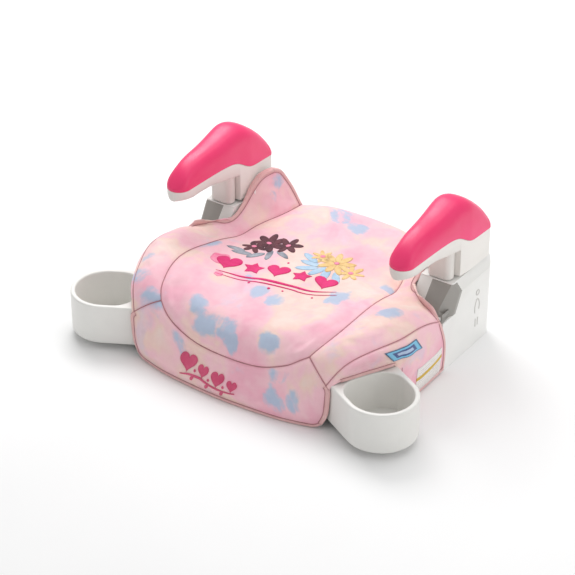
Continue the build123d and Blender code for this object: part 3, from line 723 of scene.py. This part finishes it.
def make_trims():
    """Seams and bound edges, taken from the panels' own edges."""
    seat = panels["seat"][:1 - len(REAR_ROLL)]
    left, left_up = panel_edge(seat, "l")
    right, right_up = panel_edge(seat, "r")
    front, front_up = panel_edge(seat, "f")
    line, up = joined(left[::-1], front, right), joined(left_up[::-1], front_up, right_up)
    # Seam line round the seat: a dark tube whose colour is painted shade in the seam valley.
    seam("seat_seam", line, up)
    edge_roll("rear_hem", panels["seat"], "b", part=(0.14, 0.86))
    edge_roll("front_hem", panels["front"], "b", width=4.2)
    for side in "lr":
        edge_roll(f"front_edge_{side}", panels["front"], side, part=(0.03, 1.0))
    for side_name, sign in SIDES:
        turn = (lambda g: g) if sign > 0 else flip
        bolster, skirt = turn(panels["bolster"]), turn(panels["skirt"])
        outer = "r" if sign * (bolster[10, -1, 0] - bolster[10, 0, 0]) > 0 else "l"
        first = SEAM_POINTS / bolster.shape[0]
        line, up = panel_edge(bolster, outer)
        count = int(first * len(line))
        # Side and front seam lines: dark tubes whose colour is painted shade in the seam valleys.
        seam(f"{side_name}_side_seam", line[:count + 1], up[:count + 1])
        line, up = panel_edge(bolster, "f")
        seam(f"{side_name}_front_seam", line, up)
        thick = wing_thickness(bolster)
        column = thick[:, -1] if outer == "r" else thick[:, 0]
        edge_roll(f"{side_name}_wing_edge", bolster, outer, column, part=(first - 0.01, 1.0))
        edge_roll(f"{side_name}_wing_rear", bolster, "b", thick[-1])
        edge_roll(f"{side_name}_opening_edge", skirt, "b")
        for side in "lr":
            line, _, _ = edge_frame(skirt, side)
            if abs(line[0, 1] - SKIRT_REAR[0][1]) < 12:
                edge_roll(f"{side_name}_skirt_edge", skirt, side)


def make_foam():
    """Seat foam under the cover: a slab that follows the seat from below."""
    seat = panels["seat"][3:-6, 3:-3]
    top = seat - normals(seat) * (FABRIC_T + 0.8)
    deck = 83.2
    under = top.copy()
    under[..., 2] -= top[..., 2] - np.minimum(top[..., 2] - 2.0, deck)
    verts, faces, _ = closed_skin(top, under)
    piece = add_object("seat_foam", verts, faces, FOAM)
    fix_normals(piece)
    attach(piece, "base")
    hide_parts("foam_pad")


make_trims()
make_foam()


# ---- prints, embroidery, tag and label ----------------------------------------------------
def wrap_on(piece_name, points, ray, lift):
    """Points moved along the ray direction onto a fabric piece, then lifted off it."""
    piece = bpy.data.objects[piece_name]
    tree = BVHTree.FromObject(piece, bpy.context.evaluated_depsgraph_get())
    d, reach = Vector(ray).normalized(), 0.2
    out = []
    for p in points:
        start = Vector(p) * MM - d * reach
        hit, normal, _, _ = tree.ray_cast(start, d)
        if hit is None:
            hit, normal, _, _ = tree.find_nearest(Vector(p) * MM)
        normal = normal if normal.dot(d) < 0 else -normal
        out.append((hit + normal * lift * MM) / MM)
    return np.array([tuple(p) for p in out])


def blob_mesh(centre, radius_at, axes, rings=5, spokes=72):
    """Filled outline round a centre, as rings of points along two axes."""
    t = np.linspace(0, 2 * math.pi, spokes, endpoint=False)
    r = radius_at(t)
    a, b = (np.array(axis, float) for axis in axes)
    rim = (r * np.cos(t))[:, None] * a + (r * np.sin(t))[:, None] * b
    verts = [np.array(centre, float)[None]] + [centre + rim * k for k in np.linspace(0, 1, rings + 1)[1:]]
    faces = [(0, 1 + j, 1 + (j + 1) % spokes) for j in range(spokes)]
    for i in range(rings - 1):
        first = 1 + i * spokes
        faces += [(first + j, first + spokes + j, first + spokes + (j + 1) % spokes, first + (j + 1) % spokes)
                  for j in range(spokes)]
    return np.concatenate(verts), faces


def heart(size):
    """Radius of a heart outline, point down."""
    t = np.linspace(0, 2 * math.pi, 400, endpoint=False)
    x = 16 * np.sin(t) ** 3
    y = 13 * np.cos(t) - 5 * np.cos(2 * t) - 2 * np.cos(3 * t) - np.cos(4 * t) + 1.5
    angle = np.arctan2(y, x) % (2 * math.pi)
    order = np.argsort(angle)
    radius = np.hypot(x, y)[order] / 16.5
    return lambda a: size * np.interp(a % (2 * math.pi), angle[order], radius, period=2 * math.pi)


def star(size):
    """Radius of a five-pointed star with soft points."""
    return lambda t: size * (1 - 0.42 * np.abs(np.sin((t - math.pi / 2) * 5 / 2)) ** 0.8)


def petal(length_, width, turn):
    def at(t):
        u = t - turn
        return 1 / np.sqrt((np.cos(u) / length_) ** 2 + (np.sin(u) / width) ** 2)
    return at


def splash(size, seed):
    """Radius of an uneven drop of ink."""
    rng = np.random.default_rng(seed)
    phase, gain = rng.random(5) * 6.28, rng.random(5) * 0.06
    waves = list(enumerate(zip(gain, phase), start=2))
    return lambda t: size * (1 + sum(g * np.sin(k * t + p) for k, (g, p) in waves))


def ink(name, colour, light):
    """Watercolour ink: pooled, uneven colour."""
    s = Shader(name, Specular_IOR_Level=0.25, Sheen_Weight=0.1)
    pooled = s.noise(70.0, 4.0, 0.65)
    return s.finished(s.ramp(pooled, [(0.32, colour), (0.66, light)]),
                      s.bump(s.noise(1100.0, 2.0, 0.5), 0.25, 0.0002), s.range(pooled, 0.3, 0.7, 0.6, 0.75))


class Print:
    """Shapes gathered on one piece of fabric and made as a single thin mesh."""

    def __init__(self, name, on, axes, ray, material, lift=0.3):
        self.name, self.on, self.axes, self.ray = name, on, axes, ray
        self.material, self.lift, self.verts, self.faces = material, lift, [], []

    def add(self, made):
        verts, faces = made
        start = sum(len(v) for v in self.verts)
        self.verts.append(wrap_on(self.on, verts, self.ray, self.lift))
        self.faces += [tuple(start + i for i in f) for f in faces]

    def blob(self, centre, radius_at, turn=0.0, **kw):
        a, b = (np.array(axis, float) for axis in self.axes)
        c, s = math.cos(turn), math.sin(turn)
        self.add(blob_mesh(centre, radius_at, (a * c + b * s, b * c - a * s), **kw))

    def stroke(self, points, widths, n=60):
        """Brush stroke through the points, with its width given along it."""
        line = curve(points, n)
        side = np.cross(along(line), self.ray)
        side /= np.linalg.norm(side, axis=1, keepdims=True)
        half = np.interp(np.linspace(0, 1, n), np.linspace(0, 1, len(widths)), widths) / 2
        verts = np.concatenate([line + side * half[:, None], line, line - side * half[:, None]])
        self.add((verts, grid_faces(3, n)))

    def make(self):
        piece = add_object(self.name, np.concatenate(self.verts), self.faces, self.material)
        thick = piece.modifiers.new("thick", "SOLIDIFY")
        thick.thickness, thick.offset = 0.25 * MM, -1
        fix_normals(piece)
        cover_trim(piece)


PRINT_X, PRINT_Y = (0.82, 0.57, 0), (-0.57, 0.82, 0)      # the print's own right and up
MAGENTA = ink("magenta_ink", srgb(214, 30, 106), srgb(232, 60, 130))
PINK_INK = ink("pink_ink", srgb(244, 130, 166), srgb(250, 160, 188))
PLUM = ink("plum_ink", srgb(70, 42, 52), srgb(112, 66, 74))
SLATE = ink("slate_ink", srgb(120, 126, 138), srgb(176, 182, 192))
GOLD = ink("gold_ink", srgb(226, 186, 116), srgb(246, 218, 160))
SKY_INK = ink("sky_ink", srgb(160, 196, 224), srgb(196, 220, 238))
ROSE_THREAD = plain_fabric("rose_embroidery", srgb(206, 74, 112), srgb(222, 100, 134))
PRINT_ORIGIN = np.array((-10.0, -30.0, 100.0))


def on_print(right, up):
    return PRINT_ORIGIN + right * np.array(PRINT_X) + up * np.array(PRINT_Y)


def flower(sheet, centre, petals, length_, width, turn=0.0):
    for k in range(petals):
        angle = turn + 2 * math.pi * k / petals
        sheet.blob(centre + (np.array(PRINT_X) * math.cos(angle) + np.array(PRINT_Y) * math.sin(angle))
                   * length_ * 0.62, petal(length_ * 0.55, width, angle), rings=3, spokes=24)


def make_prints():
    """Row of hearts and stars over a swash, two bunches of flowers, and the embroidery: all generic."""
    def sheet(name, material, lift):
        return Print(f"print_{name}", "seat_cushion", (PRINT_X, PRINT_Y), (0, 0, -1), material, lift)

    def flowers(name, material, slim, blooms):
        bunch = sheet(name, material, 0.45)
        for right, up, size, petals in blooms:
            flower(bunch, on_print(right, up), petals, size, size * slim, up * 0.1)
        bunch.make()

    def leaves(name, material, lift, size, width, spots):
        bunch = sheet(name, material, lift)
        for right, up, angle in spots:
            bunch.blob(on_print(right, up), petal(size, width, angle), rings=3, spokes=24)
        bunch.make()

    blots = sheet("blots", PINK_INK, 0.30)
    blots.blob(on_print(-76, 44), splash(13.5, 3))
    blots.blob(on_print(-78, 2), splash(6.0, 5))
    blots.make()
    hearts = sheet("hearts", MAGENTA, 0.55)
    row = [(-66, 34, 18.5), (-32, 23, 15), (0, 13, 16.5), (31, 0, 14), (62, -14, 16.5)]
    for k, (right, up, size) in enumerate(row):
        hearts.blob(on_print(right, up), heart(size) if k % 2 == 0 else star(size), turn=-0.35, spokes=80)
    swash = [(-82, 12), (-46, 0), (-4, -15), (34, -32), (76, -38)]
    for rise, wide in ((0, 5.2), (-9, 2.4)):
        hearts.stroke([on_print(right, up + rise) for right, up in swash],
                      [0.6, wide * 0.7, wide, wide * 0.7, 0.5])
    for right, up, size in ((-38, -16, 1.8), (-12, -31, 2.1), (6, -38, 1.4), (44, -52, 1.5), (14, 34, 1.7)):
        hearts.blob(on_print(right, up), splash(size, 9), rings=2, spokes=14)
    hearts.make()
    flowers("dark_flowers", PLUM, 0.26, [(-12, 92, 21, 7), (14, 82, 18, 6), (-32, 80, 15, 6)])
    leaves("leaves", SLATE, 0.38, 15, 4.2, [(-48, 62, 2.9), (-30, 58, 3.6), (-12, 60, 4.4), (6, 58, 5.2),
                                            (-56, 72, 2.6)])
    flowers("gold_flowers", GOLD, 0.2, [(78, 34, 23, 9), (96, 14, 17, 7), (60, 52, 14, 7)])
    leaves("blue_leaves", SKY_INK, 0.40, 16, 5.4, [(44, 34, 2.6), (38, 22, 3.1), (52, 14, 3.8), (62, 6, 4.3),
                                                   (44, 48, 2.1), (76, -2, 4.7)])
    eyes = sheet("flower_eyes", PINK_INK, 0.75)
    for right, up in ((-12, 92), (14, 82), (-32, 80), (78, 34), (96, 14), (60, 52)):
        eyes.blob(on_print(right, up), splash(3.4, 2), rings=2, spokes=20)
    eyes.make()

    sewn = Print("embroidery", "front_cushion", ((1, 0, 0), (0, 0, 1)), (0, 1, 0), ROSE_THREAD, 0.8)
    stem = cubic([(-62, 17), (-36, 21), (-8, 16), (26, 18)])
    sewn.stroke([(x, -172, z) for x, z in stem([0, 0.33, 0.66, 1])], [1.4, 3.4, 3.4, 1.4])
    for at, size in ((0.10, 13.5), (0.39, 9.0), (0.66, 10.5), (0.92, 8.0)):
        (x, z), = stem(at)
        sewn.blob((x + 1.5, -172, z + size * 1.1), heart(size), rings=3)
    for at in (0.26, 0.53, 0.80):
        (x, z), = stem(at)
        sewn.blob((x, -172, z + 6), splash(1.9, 4), rings=2, spokes=16)
        sewn.blob((x - 3, -172, z - 4.5), petal(5.0, 2.2, 4.1), rings=2, spokes=24)
    sewn.make()


def patch(name, on, ray, corners, material, lift, node):
    """Small four-cornered label laid on the fabric."""
    cols, rows = 28, 12
    a, b, c, d = (np.array(p, float) for p in corners)
    u, v = np.meshgrid(np.linspace(0, 1, cols), np.linspace(0, 1, rows))
    flat = ((1 - u) * (1 - v))[..., None] * a + (u * (1 - v))[..., None] * b \
        + (u * v)[..., None] * c + ((1 - u) * v)[..., None] * d
    verts = wrap_on(on, flat.reshape(-1, 3), ray, lift)
    uv = np.stack([u.ravel(), v.ravel()], 1) / MM
    piece = add_object(name, verts, grid_faces(rows, cols), material, uv=uv)
    thick = piece.modifiers.new("thick", "SOLIDIFY")
    thick.thickness, thick.offset = 0.5 * MM, -1
    fix_normals(piece)
    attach(piece, "base")
    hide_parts(node)


def frame_mask(s, inner_u, inner_v):
    """1 inside a centred rectangle of the label's own 0..1 coordinates."""
    soft = 0.02
    masks = []
    for place, half in zip(s.uv_parts(), (inner_u, inner_v)):
        off = s.maths("ABSOLUTE", s.maths("SUBTRACT", place, 0.5))
        masks.append(s.range(off, half + soft, half - soft))
    return s.maths("MULTIPLY", *masks)


def tag_material():
    """Woven tag: dark edge, pale blue border, navy ring and a pale middle."""
    s = Shader("woven_tag", Roughness=0.7, Sheen_Weight=0.2)
    colour = s.mix(frame_mask(s, 0.46, 0.44), srgb(40, 90, 130), srgb(110, 190, 226))
    colour = s.mix(frame_mask(s, 0.34, 0.30), colour, srgb(26, 60, 130))
    colour = s.mix(frame_mask(s, 0.24, 0.14), colour, srgb(176, 196, 226))
    threads = s.noise(1500.0, 2.0, 0.5)
    colour = s.mix(s.range(threads, 0.4, 0.6, 0.0, 0.15), colour, srgb(220, 236, 246))
    return s.finished(colour, s.bump(threads, 0.4, 0.0002))


def label_material():
    """White care label: a slanted yellow band and faint grey rows that say nothing."""
    s = Shader("care_label", Roughness=0.55)
    u, v = s.uv_parts()
    rows = s.maths("SINE", s.maths("MULTIPLY", v, 75.0))
    broken = s.noise(9.0, 2.0, 0.5, s.vector("MULTIPLY", s.uv, (9.0, 2.0, 1.0)))
    marks = s.maths("MULTIPLY", s.range(rows, 0.1, 0.7), s.range(broken, 0.42, 0.56))
    marks = s.maths("MULTIPLY", s.maths("MULTIPLY", marks, frame_mask(s, 0.44, 0.44)), 0.5)
    colour = s.mix(marks, srgb(244, 240, 236), srgb(128, 116, 118))
    band = s.maths("ABSOLUTE", s.maths("SUBTRACT", v, s.maths("ADD", s.maths("MULTIPLY", u, 0.10), 0.58)))
    colour = s.mix(s.range(band, 0.075, 0.055), colour, srgb(214, 178, 60))
    return s.finished(colour, s.bump(s.noise(600.0, 2.0, 0.5), 0.1, 0.0002))


def make_tags():
    low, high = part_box("side_tag")
    z0, z1 = low.z / MM, high.z / MM
    corners = [(195, -76, z0 + 1), (206, -24, z0 - 3), (206, -36, z1 - 1), (189, -89, z1 + 2)]
    patch("woven_tag", "right_skirt", (-0.92, 0.4, 0), corners, tag_material(), 1.1,
          node="side_tag")
    low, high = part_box("side_label")
    y0, y1, z0, z1 = low.y / MM, high.y / MM, low.z / MM, high.z / MM
    corners = [(206, y0, z0), (206, y1, z0), (206, y1, z1), (206, y0, z1)]
    patch("care_label", "right_skirt", (-1, 0, 0), corners, label_material(), 0.7,
          node="side_label")


def raised(name, line, sign, wide, thick, material, closed=False):
    """Flattened bar standing out of a side wall, along a line of points."""
    line = np.array(line, float)
    out = np.tile((sign, 0.0, 0.0), (len(line), 1))
    piece = swept(name, line, wide, thick, np.cross(along(line), out), out, material, closed=closed)
    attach(piece, "base")


def make_relief():
    """Raised ring, loop and bars moulded into the outer wall of the right-hand pod, coloured a darker grey as
    painted shade.
    """
    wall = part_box("seat_shell")[1].x / MM

    def ridge(name, points, closed=False):
        line = [(wall - 0.1, y, z) for y, z in points]
        raised(name, line, 1.0, 1.9, 1.8, RELIEF_SHADE, closed)

    turn = np.linspace(0, 2 * math.pi, 28, endpoint=False)
    ridge("relief_ring", [(122 + 3.8 * math.cos(a), 80 + 3.8 * math.sin(a)) for a in turn], closed=True)
    arch = cubic([(117, 50), (117, 63), (122, 70), (127, 64), (127, 52)])
    ridge("relief_loop", arch(np.linspace(0, 1, 24)))
    for number, y in enumerate((119, 125)):
        ridge(f"relief_bar_{number}", [(y, z) for z in np.linspace(28, 40, 4)])


def make_trim_lips():
    """Grey lips that close the foot of each side trim against the pod."""
    for side_name, sign in SIDES:
        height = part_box(f"{side_name}_side_trim")[0].z / MM + 5.0
        line = [(sign * 200.8, y, height) for y in np.linspace(36, 55, 6)]
        raised(f"{side_name}_trim_lip", line, sign, 11.0, 1.6, GREY)


make_prints()
make_tags()
make_relief()
make_trim_lips()


# ---- armrests -----------------------------------------------------------------------------
def table(points, at):
    points = v3(points)
    return np.interp(at, points[:, 0], points[:, 1])


def smooth_table(points, at):
    line = cubic(points)(np.linspace(0, 1, 600))
    return np.interp(at, line[:, 0], line[:, 1])


def arm_half_width(y):
    """Half width seen from above, round at the tip and at the rear corners."""
    w = table(ARM_WIDTHS, y)
    tip = np.clip((y - ARM_TIP_Y) / ARM_TIP_R, 0, 1)
    rear = np.clip((ARM_REAR_Y - y) / ARM_CORNER_R, 0, 1)
    return w * np.sqrt(1 - (1 - tip) ** 2) - 7.5 * (1 - np.sqrt(1 - (1 - rear) ** 2))


def arm_stations(extra=()):
    """Places along the armrest where its section is set, closer at both ends."""
    tip = ARM_TIP_Y + ARM_TIP_R * (1 - np.cos(np.linspace(0.03, math.pi / 2, 14)))
    middle = np.linspace(-18, 149, 62)
    rear = ARM_REAR_Y - ARM_CORNER_R * (1 - np.cos(np.linspace(math.pi / 2, 0.03, 8)))
    return np.unique(np.round(np.concatenate([tip, middle, rear, extra]), 3))


def arm_cover_mesh():
    """Soft pink shell: upright flanks and a crowned top, closed underneath."""
    y = arm_stations()
    w, low = np.maximum(arm_half_width(y), 0.6), smooth_table(ARM_SPLIT, y)
    high = np.maximum(smooth_table(ARM_TOP, y), low + 1.5)
    crown = np.minimum(26.0, (high - low) * 0.94)
    t = np.linspace(0, math.pi, 33)
    x = w[:, None] * power(np.cos(t), ARM_ROUNDING)[None]
    z = (high - crown)[:, None] + crown[:, None] * power(np.sin(t), ARM_ROUNDING)[None]
    foot = [np.stack([side * w, low], 1)[:, None] for side in (1, -1)]
    section = np.concatenate([foot[0], np.stack([x, z], 2), foot[1]], axis=1)
    return closed_loft(section, y)


def closed_loft(section, y):
    """Closed mesh from sections (offset from the arm's middle, z) at stations y."""
    rows, ring = section.shape[:2]
    along_y = np.broadcast_to(y[:, None], (rows, ring))
    verts = np.stack([NOSE[0] + section[..., 0], along_y, section[..., 1]], 2)
    return verts.reshape(-1, 3), tube_faces(rows, ring)


def arm_body_mesh():
    """White half under the cover: rounded underside and the block over the pod."""
    y = arm_stations((81.5, 82.4, 83.0, 83.4, 84.5, 86.0))
    w = np.maximum(arm_half_width(y) - 0.35, 0.4)
    high, low = smooth_table(ARM_SPLIT, y) - 0.5, table(ARM_UNDER, y)
    round_off = np.minimum(np.where(y < ARM_BLOCK_Y, 9.0, 2.2), (high - low) * 0.8)
    t = np.linspace(0, math.pi, 25)
    x = (w - round_off)[:, None] * np.linspace(1, -1, 25)[None] + (
        round_off[:, None] * power(np.cos(t), 0.6)[None])
    z = low[:, None] + round_off[:, None] * (1 - power(np.sin(t), 0.6))[None]
    top = [np.stack([side * w, high], 1)[:, None] for side in (1, -1)]
    section = np.concatenate([top[0], np.stack([x, z], 2), top[1]], axis=1)
    return closed_loft(section, y)


def column_mesh(spec, radius):
    """Upright post with a rounded outline."""
    cx, cy, hx, hy, low, high = spec
    ring = 64
    t = np.linspace(0, 2 * math.pi, ring, endpoint=False)
    x = (hx - radius) * np.sign(np.cos(t)) + radius * np.cos(t)
    y = (hy - radius) * np.sign(np.sin(t)) + radius * np.sin(t)
    verts = [np.stack([cx + x * k, cy + y * k, np.full_like(x, z)], 1)
             for z, k in ((low, 0.97), (low + 0.6, 1.0), (high, 1.0))]
    return np.concatenate(verts), tube_faces(len(verts), ring)


def box_mesh(low, high):
    (x0, y0, z0), (x1, y1, z1) = low, high
    verts = [(x, y, z) for z in (z0, z1) for y in (y0, y1) for x in (x0, x1)]
    return v3(verts), [(0, 2, 3, 1), (4, 5, 7, 6), (0, 1, 5, 4), (2, 6, 7, 3), (0, 4, 6, 2), (1, 3, 7, 5)]


def combined(base, others, cut):
    """Union of closed shells less a cutter, as one clean mesh on the base object."""
    for tool, operation in [(o, "UNION") for o in others] + [(cut, "DIFFERENCE")]:
        step = base.modifiers.new("step", "BOOLEAN")
        step.object, step.operation, step.solver = tool, operation, "EXACT"
    shown = base.evaluated_get(bpy.context.evaluated_depsgraph_get())
    mesh = bpy.data.meshes.new_from_object(shown)
    base.modifiers.clear()
    base.data = mesh
    for tool in [*others, cut]:
        bpy.data.objects.remove(tool)
    return base


def make_armrest(side_name, sign):
    def built(name, made, material=None):
        verts, faces = made
        piece = add_object(name, verts * (sign, 1, 1), faces, material)
        fix_normals(piece)
        return piece

    cover = built(f"{side_name}_arm_cover", arm_cover_mesh(), HOT_PINK)
    cover.data.set_sharp_from_angle(angle=math.radians(50))
    body = built(f"{side_name}_arm_body", arm_body_mesh(), ARM_WHITE)
    posts = [built("nose", column_mesh(NOSE, 8.5)), built("tongue", column_mesh(TONGUE, 2.0))]
    body = combined(body, posts, built("hole", box_mesh(*BUTTON_HOLE)))
    body.data.materials.clear()
    body.data.materials.append(ARM_WHITE)
    body.data.set_sharp_from_angle(angle=math.radians(38))
    for piece, node, slot in ((cover, "armrest_cover", "pink_plastic"),
                              (body, "armrest_body", "white_plastic")):
        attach(piece, f"{side_name}_armrest")
        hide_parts(f"{side_name}_{node}")


for side_name, sign in SIDES:
    make_armrest(side_name, sign)


# ---- CAD nodes that stay, with their finishes ---------------------------------------------
def dress(node, material):
    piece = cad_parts[node]
    piece.data.materials.clear()
    piece.data.materials.append(material)


dress("seat_shell", WHITE)
dress("cover_clips", WHITE)
for side_name, sign in SIDES:
    dress(f"{side_name}_side_trim", GREY)
    dress(f"{side_name}_cup_holder", WHITE)
    dress(f"{side_name}_cup_track", GREY)
    dress(f"{side_name}_latch_button", GREY)
    dress(f"{side_name}_armrest_guide", GREY)
    for metal in ("track_screws", "cup_spring", "armrest_screws", "latch_spring", "guide_screws"):
        dress(f"{side_name}_{metal}", STEEL)


# ---- studio -------------------------------------------------------------------------------
def make_stage():
    """Pale floor and backdrop with three soft lamps; the sky is brighter to the camera."""
    ambient, backdrop = 0.52, 1.0
    s = Shader("floor", Roughness=0.9, Specular_IOR_Level=0.1)
    pale = s.finished(s.ramp(s.noise(3.0), [(0.3, (0.93, 0.93, 0.93, 1)), (0.7, (0.95, 0.95, 0.95, 1))]))
    far = 9000
    corners = [(-far, -far, 0), (far, -far, 0), (far, far, 0), (-far, far, 0)]
    floor = add_object("floor", v3(corners), [(0, 1, 2, 3)], pale)
    world = bpy.data.worlds.new("studio")
    bpy.context.scene.world = world
    world.use_nodes = True
    sky = world.node_tree
    seen = sky.nodes.new("ShaderNodeLightPath").outputs["Is Camera Ray"]
    level = sky.nodes.new("ShaderNodeMapRange")
    sky.links.new(seen, level.inputs[0])
    level.inputs[3].default_value, level.inputs[4].default_value = ambient, backdrop
    sky.links.new(level.outputs[0], sky.nodes["Background"].inputs[1])
    sky.nodes["Background"].inputs[0].default_value = (1.0, 1.0, 1.0, 1)
    for name, spot, size, energy in (("key", (-900, 700, 1500), 1.0, 17), ("top", (100, 500, 1900), 1.6, 12),
                                     ("fill", (1600, 100, 700), 1.2, 5.0)):
        light = bpy.data.lights.new(name, "AREA")
        light.size, light.energy = size, energy
        lamp = bpy.data.objects.new(name, light)
        lamp.location = Vector(spot) * MM
        lamp.rotation_mode = "QUATERNION"
        lamp.rotation_quaternion = (Vector((0, 0, 80)) - Vector(spot)).to_track_quat("-Z", "Y")
        bpy.context.scene.collection.objects.link(lamp)
    bpy.context.scene.view_settings.view_transform = "Standard"


def make_camera():
    """Camera in the photograph's own place, found from points that are symmetric on the object."""
    camera = bpy.data.cameras.new("camera")
    camera.lens, camera.sensor_width = 135.73, 36.0
    camera.clip_end = 100
    rig = bpy.data.objects.new("camera", camera)
    bpy.context.scene.collection.objects.link(rig)
    right, up, back = (0.8228, 0.5683, 0.0), (-0.3012, 0.4360, 0.8480), (0.4819, -0.6978, 0.5299)
    spot = (1374.1, -2011.8, 1599.5)
    rows = [[right[i], up[i], back[i], spot[i] * MM] for i in range(3)]
    rig.matrix_world = Matrix(rows + [[0, 0, 0, 1]])
    bpy.context.scene.camera = rig


make_stage()
make_camera()
